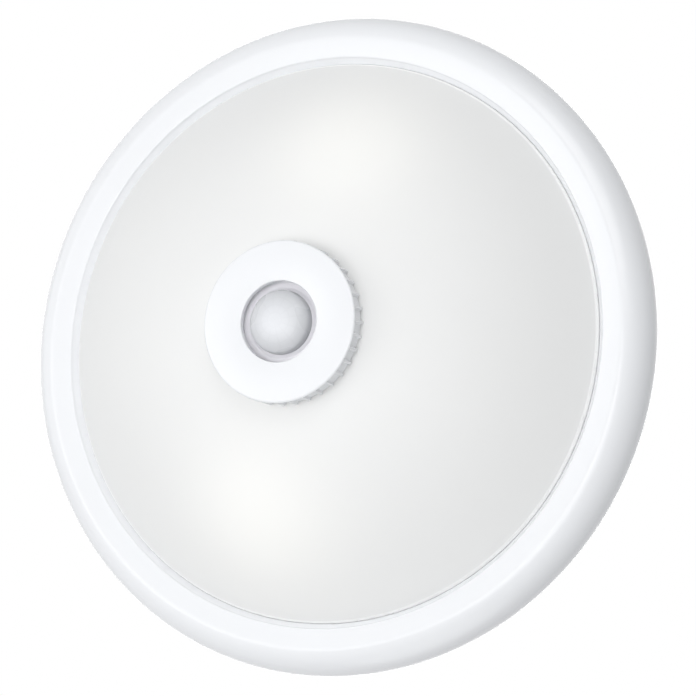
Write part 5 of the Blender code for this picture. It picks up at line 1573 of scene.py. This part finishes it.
class LIGHT_OT_brackets(bpy.types.Operator):
    """Make the two bent steel brackets of the lampholders"""

    bl_idname = "ceiling_light.brackets"
    bl_label = "Holder brackets"

    def execute(self, context):
        plate, lamp, at = sizes().plate, sizes().lamp, Places()
        back = -at.gap - lamp.bracket
        foot = at.shelf - at.lamp_axis
        top = lamp.back_radius - lamp.bracket_top
        foot_end = back + lamp.bracket_foot
        outline = [(foot_end, foot), (foot_end, foot + lamp.bracket)]
        corner, end = (-at.gap, foot + lamp.bracket), (-at.gap, top)
        outline += bend(outline[1], corner, end, lamp.bracket * INNER_BEND_SHARE, 4)
        outline += [end, (back, top)]
        outline += bend((back, top), (back, foot), (foot_end, foot), lamp.bracket * OUTER_BEND_SHARE, 6)
        on_side = Matrix(((0, 0, -1, 0), (0, 1, 0, 0), (1, 0, 0, 0), (0, 0, 0, 1)))
        for number, side in STATIONS:
            station = at.station(side)
            sheet = prism(f"holder_bracket_{number}_fine", outline, lamp.bracket_width, station @ on_side)
            cutters = [post_of(at.hole, back * 2, -back, 24, station)]
            for step in (-plate.rivet_spacing / 2, plate.rivet_spacing / 2):
                across = station @ placed(step, foot, back + lamp.bracket_foot / 2, (QUARTER_TURN, 0, 0))
                cutters.append(post_of(at.hole, back * 2, -back * 2, 20, across))
            shaped(sheet, cutters=[merged(cutters)])
            settle(sheet, "zinc_steel")
        return {"FINISHED"}


# Shares of the bulb's tip radius and of its cap's thread height
CONTACT_SHARE = 0.89
SHELL_THREAD_SHARE = 0.7
SHELL_ROWS_FOR_A_TURN = 10


class LIGHT_OT_lampholders(bpy.types.Operator):
    """Make the two lampholders, their threaded shells, contacts and screws"""

    bl_idname = "ceiling_light.lampholders"
    bl_label = "Lampholders"

    def execute(self, context):
        plate, lamp, at = sizes().plate, sizes().lamp, Places()
        taper = lamp.body_length + lamp.taper_length
        collar = lamp.holder_length - lamp.taper_length
        mouth, floor = lamp.mouth_radius - at.gap * 2, lamp.back_thickness
        outline = [(at.hole, 0), (lamp.back_radius, 0), (lamp.back_radius, lamp.body_length)]
        outline += [(lamp.mouth_radius, taper), (lamp.mouth_radius, collar), (mouth, collar + at.gap * 2)]
        outline += [(mouth, lamp.holder_length), (lamp.bore, lamp.holder_length), (lamp.bore, floor)]
        outline += [(0, floor), (0, lamp.screw_depth), (at.hole, lamp.screw_depth)]
        outline = eased(outline, at.gap * 2)
        start = floor + at.gap
        disc = band(0, lamp.tip_radius * CONTACT_SHARE, start, start + lamp.contact_thickness)
        thread = thread_tree()
        for number, side in STATIONS:
            station = at.station(side)
            holder = turned(f"lampholder_{number}_fine", outline, 72, station, hanging=False)
            settle(holder, "white_thermoset")
            self.make_shell(number, thread, lamp, at, station)
            leaf = turned(f"holder_contact_{number}_fine", eased(disc, at.gap), 36, station, hanging=False)
            settle(leaf, "brass")
            seat = 2 * at.gap + lamp.bracket
            screw = screw_part(f"holder_screw_{number}_fine", plate, seat, at.gap - lamp.screw_depth)
            settle(laid(screw, station), "zinc_steel")
        return {"FINISHED"}

    def make_shell(self, number, thread, lamp, at, station):
        outer = lamp.bore - at.gap
        inner = outer - lamp.shell
        steps = rows(lamp.shell_start, lamp.shell_end, lamp.cap_pitch / SHELL_ROWS_FOR_A_TURN)
        outline = [(outer, height) for height in steps] + [(inner, height) for height in reversed(steps)]
        shell = turned(f"holder_shell_{number}_fine", outline, 64, hanging=False)
        values = {
            "Pitch": lamp.cap_pitch, "Height": -lamp.cap_height * SHELL_THREAD_SHARE, "Low": lamp.shell_start,
            "High": lamp.shell_end, "Soft": lamp.cap_pitch / 2, "Beyond": 0.0, "Material": finish_of("brass"),
        }
        settle(laid(grown(shell, thread, values), station), "brass")


class LIGHT_OT_bulbs(bpy.types.Operator):
    """Make the two screw-cap bulbs"""

    bl_idname = "ceiling_light.bulbs"
    bl_label = "Bulbs"

    def execute(self, context):
        lamp, at = sizes().lamp, Places()
        thread = thread_tree()
        foot, tip = at.bulb_foot, at.bulb_foot + lamp.tip
        button = [(0, foot), (lamp.tip_radius / 2, foot), (lamp.tip_radius, foot + lamp.tip / 2)]
        button += [(lamp.tip_radius, tip), (0, tip)]
        start, end = at.bulb_insulator, at.bulb_insulator + lamp.insulator
        cone = [(0, start), (lamp.tip_radius, start), (lamp.insulator_radius, end), (0, end)]
        for number, side in STATIONS:
            station = at.station(side)
            body = f"bulb_{number}"
            for node, outline, steps, slot_name, rides in (
                (f"bulb_contact_{number}", eased(button, at.gap * 2), 40, "solder", body + "_foot"),
                (f"bulb_insulator_{number}", eased(cone, at.gap, 2), 48, "black_plastic", body),
                (f"bulb_glass_{number}", bulb_line(lamp, at), 80, "frosted_glass", body),
            ):
                settle(turned(node + "_fine", outline, steps, station, hanging=False), slot_name, rides)
            self.make_cap(number, body, thread, lamp, at, station)
        return {"FINISHED"}

    def make_cap(self, number, body, thread, lamp, at, station):
        root = lamp.cap_radius - lamp.cap_height
        throat = lamp.neck_radius + at.gap
        bore = lamp.cap_radius - lamp.cap_wall
        outline = [(lamp.tip_radius, at.cap_start)]
        steps = rows(at.cap_start, at.cap_end, lamp.cap_pitch / ROWS_FOR_A_TURN)
        outline += [(root, height) for height in steps]
        outline += [(throat, at.cap_end), (throat, at.cap_start + bore - lamp.neck_radius + lamp.cap_wall)]
        outline += [(lamp.tip_radius, at.cap_start + lamp.cap_wall)]
        cap = turned(f"bulb_cap_{number}_fine", outline, 72, hanging=False)
        values = {
            "Pitch": lamp.cap_pitch, "Height": lamp.cap_height, "Low": at.cap_start,
            "High": at.cap_start + lamp.cap_turns * lamp.cap_pitch, "Soft": lamp.cap_pitch / 2,
            "Beyond": root - at.gap, "Material": finish_of("spun_aluminium"),
        }
        settle(laid(grown(cap, thread, values), station), "spun_aluminium", body)


SHOULDER_TURN = math.radians(22)


def bulb_line(lamp, at):
    """Section of the bulb's glass: neck, flowing shoulder and globe, with an even wall."""
    def skin(inset):
        neck, globe = lamp.neck_radius - inset, at.globe - inset
        start = -math.acos(neck / globe)
        meet = start + SHOULDER_TURN
        shoulder = Vector((globe * math.cos(meet), at.globe_middle + globe * math.sin(meet)))
        corner = Vector((neck, at.globe_middle + globe * math.sin(start)))
        line = [(neck, at.cap_end - lamp.neck_length)]
        line += curved(corner - Vector((0, lamp.cap_collar)), corner, shoulder, 10)
        line += arc(0, at.globe_middle, globe, globe, meet, QUARTER_TURN, 30)[1:-1]
        return line + [(0, at.globe_middle + globe)]
    return skin(0.0) + skin(lamp.glass_wall)[::-1]


# Wiring

CLAMP_TURN = 0.4
CLAMP_SLOT_SHARE = 2.5


class LIGHT_OT_terminal_block(bpy.types.Operator):
    """Make the three-pole terminal block and its screws"""

    bl_idname = "ceiling_light.terminal_block"
    bl_label = "Terminal block"

    def execute(self, context):
        lamp, at = sizes().lamp, Places()
        height = lamp.block_height
        front = at.shelf + height
        middle = placed(0, at.block_place, -at.shelf - height / 2)
        size = (lamp.block_width, lamp.block_depth, height)
        body = brick("terminal_block_fine", size, middle, at.gap * 2, 3)
        well_floor = front - lamp.well_depth
        wells, wire_holes, spots = [], [], []
        for i in (-1, 0, 1):
            x = i * lamp.block_pitch
            wells.append(hole_at(lamp.well_radius, well_floor, front + at.gap * 3, x, at.block_place, 32))
            across = placed(x, at.block_place, -at.shelf - lamp.block_wire_height, (QUARTER_TURN, 0, 0))
            wire_holes.append(post_of(lamp.wire_hole, -lamp.block_depth, lamp.block_depth, 28, across))
            spots.append((x, at.block_place, CLAMP_TURN + i))
        shaped(body, cutters=[merged(wells)])
        shaped(body, cutters=[merged(wire_holes)])
        settle(body, "nylon")
        floor, top = well_floor + at.gap, well_floor + at.gap + lamp.clamp_height
        part = turned("clamp", eased(band(0, lamp.clamp_radius, floor, top), at.gap, 2), 28)
        slot = (lamp.clamp_radius * CLAMP_SLOT_SHARE, lamp.clamp_slot_width, 2 * lamp.clamp_slot_depth)
        shaped(part, cutters=[brick("slot", slot, placed(0, 0, -top))])
        made = spread("terminal_screws_fine", part, spots, "zinc_steel")
        settle(made, "zinc_steel", nodes=[f"terminal_screw_{i}" for i in (1, 2, 3)])
        return {"FINISHED"}


# Shares of a wire's way from a lampholder to the housing: across, along and down
WIRE_WAY_SHARES = ((0, 0, 0), (0.2, 0, 0), (0.5, 0.2, 0.42), (0.73, 0.6, 0.8), (0.9, 0.93, 0.97))


def post_route(at, turn):
    """Middle line in through the housing's wall and down to the back of the board."""
    lamp, post = sizes().lamp, sizes().post
    end = at.board_back - at.gap
    stops = [
        (at.post_body + lamp.wire_settle, post.window_depth),
        (at.post_body - post.wall / 2, post.window_depth),
        (at.wire_tail + lamp.wire_turn, post.window_depth + lamp.wire_turn),
        (at.wire_tail, post.window_depth + lamp.wire_turn + lamp.wire_settle),
        (at.wire_tail, (post.window_depth + end) / 2),
        (at.wire_tail, end),
    ]
    return [Vector((*on_circle(radius, turn), -depth)) for radius, depth in stops]


def lamp_route(at, side):
    """Middle line of a pair of wires from a lampholder's flank to the board."""
    lamp, post = sizes().lamp, sizes().post
    flank = at.lamp_side - lamp.back_radius - 2 * at.gap
    start = at.lamp_back - lamp.wire_start
    mouth = at.post_body + lamp.wire_settle
    points = []
    for across, along, down in WIRE_WAY_SHARES:
        depth = at.lamp_axis + (post.window_depth - at.lamp_axis) * down
        points.append(Vector((side * (flank + (mouth - flank) * across), side * start * (1 - along), -depth)))
    return points + post_route(at, 0 if side > 0 else HALF_TURN)


def in_lane(points, offset, gap):
    """Moves a route sideways, square to its direction in plan. The first stretch stays straight."""
    moved = []
    square = Vector((0, 0, 0))
    for i, point in enumerate(points):
        after = point if i == 1 else points[min(i + 1, len(points) - 1)]
        ahead = after - points[max(i - 1, 0)]
        if math.hypot(ahead.x, ahead.y) > gap:
            square = Vector((-ahead.y, ahead.x, 0)).normalized()
        moved.append(point + square * offset)
    return moved


def block_route(at, lane):
    """From a pole of the terminal block to the housing's wall and on to the board."""
    lamp, post = sizes().lamp, sizes().post
    edge = at.block_place + lamp.block_depth / 2
    height = -at.shelf - lamp.block_wire_height
    inner = in_lane(post_route(at, -QUARTER_TURN), lane, at.gap)
    pole = math.copysign(lamp.block_pitch, inner[0].x)
    middle = (edge + lamp.wire_turn + inner[0].y) / 2
    return [
        Vector((pole, edge - lamp.block_grip, height)),
        Vector((pole, edge + lamp.wire_turn, height)),
        Vector(((pole + inner[0].x) / 2, middle, (height - post.window_depth) / 2)),
        *inner,
    ]


def smooth_route(points, step):
    """Points along a Catmull-Rom curve through the given ones, about a step apart."""
    ends = [2 * points[0] - points[1], *points, 2 * points[-1] - points[-2]]
    fine = [points[0]]
    for a, b, c, d in zip(ends, ends[1:], ends[2:], ends[3:]):
        total = max(2, round((c - b).length / step))
        for i in range(1, total + 1):
            t = i / total
            square = (2 * a - 5 * b + 4 * c - d) * t**2
            cube = (3 * b - a - 3 * c + d) * t**3
            fine.append((2 * b + (c - a) * t + square + cube) / 2)
    return fine


class LIGHT_OT_wires(bpy.types.Operator):
    """Make the six wires between the terminal block, the lampholders and the board"""

    bl_idname = "ceiling_light.wires"
    bl_label = "Wires"

    def execute(self, context):
        lamp, at = sizes().lamp, Places()
        route = route_tree()
        for kind, lane, slot_name in (
            ("live", lamp.wire_lane, "brown_insulation"), ("neutral", -lamp.wire_lane, "blue_insulation")
        ):
            for number, side in STATIONS:
                points = in_lane(lamp_route(at, side), lane, at.gap)
                self.make(f"wire_{kind}_{number}", points, slot_name, route)
            self.make(f"wire_{kind}_in", block_route(at, lane), slot_name, route)
        return {"FINISHED"}

    def make(self, node, points, slot_name, route):
        lamp = sizes().lamp
        line = smooth_route(points, lamp.wire_step)
        mesh = bpy.data.meshes.new(node + "_path")
        mesh.from_pydata(line, [(i, i + 1) for i in range(len(line) - 1)], [])
        values = {"Radius": lamp.wire_radius, "Sides": 16, "Material": finish_of(slot_name)}
        wire = grown(linked(node + "_fine", mesh), route, values)
        bm = bmesh.new()
        bm.from_mesh(wire.data)
        bmesh.ops.recalc_face_normals(bm, faces=bm.faces)
        bm.to_mesh(wire.data)
        bm.free()
        settle(wire, slot_name)


# Studio

FLOOR_GREY = (0.80, 0.80, 0.80)
FLOOR_SIDES = 96
EVEN_LIGHT = (0.97, 0.985, 1.0)
FRAME_WIDTH = 36.0
NEAREST, FARTHEST = 0.05, 50.0
# Where each soft light stands: along the picture's right and up, and away from the camera
LIGHTS = {
    "key": (-0.36, 0, -1), "side": (-1.73, 0, -1), "upper": (0, 0.85, -1), "lower": (0, -1.5, -0.5),
    "back": (-1.4, 0.3, 0.35), "rear": (0, 0, 1),
}


def seen_directly(nodes):
    """1 for what the camera sees, also in a mirror or through glass, and 0 for even light."""
    rays = nodes.add("ShaderNodeLightPath").outputs
    either = nodes.math("MAXIMUM", rays["Is Camera Ray"], rays["Is Glossy Ray"])
    return nodes.math("MAXIMUM", either, rays["Is Transmission Ray"])


class LIGHT_OT_studio(bpy.types.Operator):
    """Make the pale floor, the white surroundings, the soft lights and the camera"""

    bl_idname = "ceiling_light.studio"
    bl_label = "Studio"

    def execute(self, context):
        studio = sizes().studio
        bpy.context.scene.view_settings.view_transform = "Standard"
        self.make_floor(studio)
        self.make_surroundings(studio)
        away = Vector((0, math.sin(studio.tilt), math.cos(studio.tilt)))
        side = Vector((0, math.cos(studio.tilt), -math.sin(studio.tilt)))
        across = Vector((1, 0, 0))
        right = side * math.cos(studio.lean) - across * math.sin(studio.lean)
        up = side * math.sin(studio.lean) + across * math.cos(studio.lean)
        middle = Vector((0, 0, -sizes().pan.widest_depth))
        self.make_camera(studio, middle, right, up, away)
        to_room = Matrix((right, up, away)).transposed()
        for name, way in LIGHTS.items():
            reach = (to_room @ Vector(way)).normalized() * studio.reach
            self.make_light(name, getattr(studio, name), studio.light_size, middle, reach)
        return {"FINISHED"}

    def make_floor(self, studio):
        mesh = bpy.data.meshes.new("floor")
        edge = [on_circle(studio.floor_radius, FULL_TURN * i / FLOOR_SIDES) for i in range(FLOOR_SIDES)]
        mesh.from_pydata([(x, y, -studio.floor_depth) for x, y in edge], [], [range(FLOOR_SIDES)])
        paint = bpy.data.materials.new("floor_paint")
        paint.use_nodes = True
        nodes = Nodes(paint.node_tree)
        values = {
            "Base Color": FLOOR_GREY, "Roughness": 0.9, "Emission Color": WHITE,
            "Emission Strength": nodes.times(seen_directly(nodes), studio.floor_white),
        }
        for name, value in values.items():
            nodes.put(paint.node_tree.nodes["Principled BSDF"].inputs[name], value)
        mesh.materials.append(paint)
        linked("floor", mesh)

    def make_surroundings(self, studio):
        world = bpy.data.worlds.new("surroundings")
        bpy.context.scene.world = world
        world.use_nodes = True
        world.node_tree.nodes.clear()
        nodes = Nodes(world.node_tree)
        even = nodes.add("ShaderNodeBackground", {"Color": EVEN_LIGHT, "Strength": studio.ambient})
        white = nodes.add("ShaderNodeBackground", {"Color": WHITE})
        values = {0: seen_directly(nodes), 1: even.outputs[0], 2: white.outputs[0]}
        mix = nodes.add("ShaderNodeMixShader", values)
        nodes.add("ShaderNodeOutputWorld", {"Surface": mix.outputs[0]})

    def make_camera(self, studio, middle, right, up, away):
        data = bpy.data.cameras.new("camera")
        data.lens = studio.focal
        data.sensor_width = FRAME_WIDTH
        data.shift_x, data.shift_y = studio.shift_right, studio.shift_up
        data.clip_start, data.clip_end = NEAREST, FARTHEST
        camera = linked("camera", data)
        turn = Matrix((right, up, -away)).transposed().to_4x4()
        camera.matrix_world = Matrix.Translation(middle - away * studio.distance) @ turn
        bpy.context.scene.camera = camera

    def make_light(self, name, power, size, middle, reach):
        data = bpy.data.lights.new(name, "AREA")
        data.shape = "DISK"
        data.size = size
        data.energy = power
        turn = reach.to_track_quat("Z", "Y").to_matrix().to_4x4()
        linked(name, data).matrix_world = Matrix.Translation(middle + reach) @ turn


class LIGHT_PT_pieces(bpy.types.Panel):
    """Sizes, colours and pieces of the ceiling light"""

    bl_idname = "LIGHT_PT_pieces"
    bl_label = "Ceiling light"
    bl_space_type = "VIEW_3D"
    bl_region_type = "UI"
    bl_category = "Ceiling light"

    def draw(self, context):
        light = context.scene.ceiling_light
        for kind in PIECES:
            self.layout.operator(kind.bl_idname)
        for group in CeilingLight.__annotations__:
            box = self.layout.box()
            settings = getattr(light, group)
            box.label(text=light.bl_rna.properties[group].name)
            for name in settings.__annotations__:
                box.prop(settings, name)


PIECES = (
    LIGHT_OT_studio, LIGHT_OT_base_pan, LIGHT_OT_cable_grommet, LIGHT_OT_reflector_plate, LIGHT_OT_screws,
    LIGHT_OT_rivets, LIGHT_OT_brackets, LIGHT_OT_lampholders, LIGHT_OT_bulbs, LIGHT_OT_terminal_block,
    LIGHT_OT_wires, LIGHT_OT_sensor_housing, LIGHT_OT_board, LIGHT_OT_knobs, LIGHT_OT_lens, LIGHT_OT_rings,
    LIGHT_OT_glass_shade, LIGHT_OT_retaining_nut,
)
GROUPS = (PanSizes, ShadeSizes, NutSizes, PostSizes, PlateSizes, LampSizes, Finishes, Studio, CeilingLight)


def register():
    for kind in (*GROUPS, *PIECES, LIGHT_PT_pieces):
        bpy.utils.register_class(kind)
    bpy.types.Scene.ceiling_light = PointerProperty(type=CeilingLight)


def unregister():
    del bpy.types.Scene.ceiling_light
    for kind in reversed((*GROUPS, *PIECES, LIGHT_PT_pieces)):
        bpy.utils.unregister_class(kind)


def main():
    register()
    for kind in PIECES:
        getattr(bpy.ops.ceiling_light, kind.bl_idname.split(".")[1])()


if __name__ == "__main__":
    main()
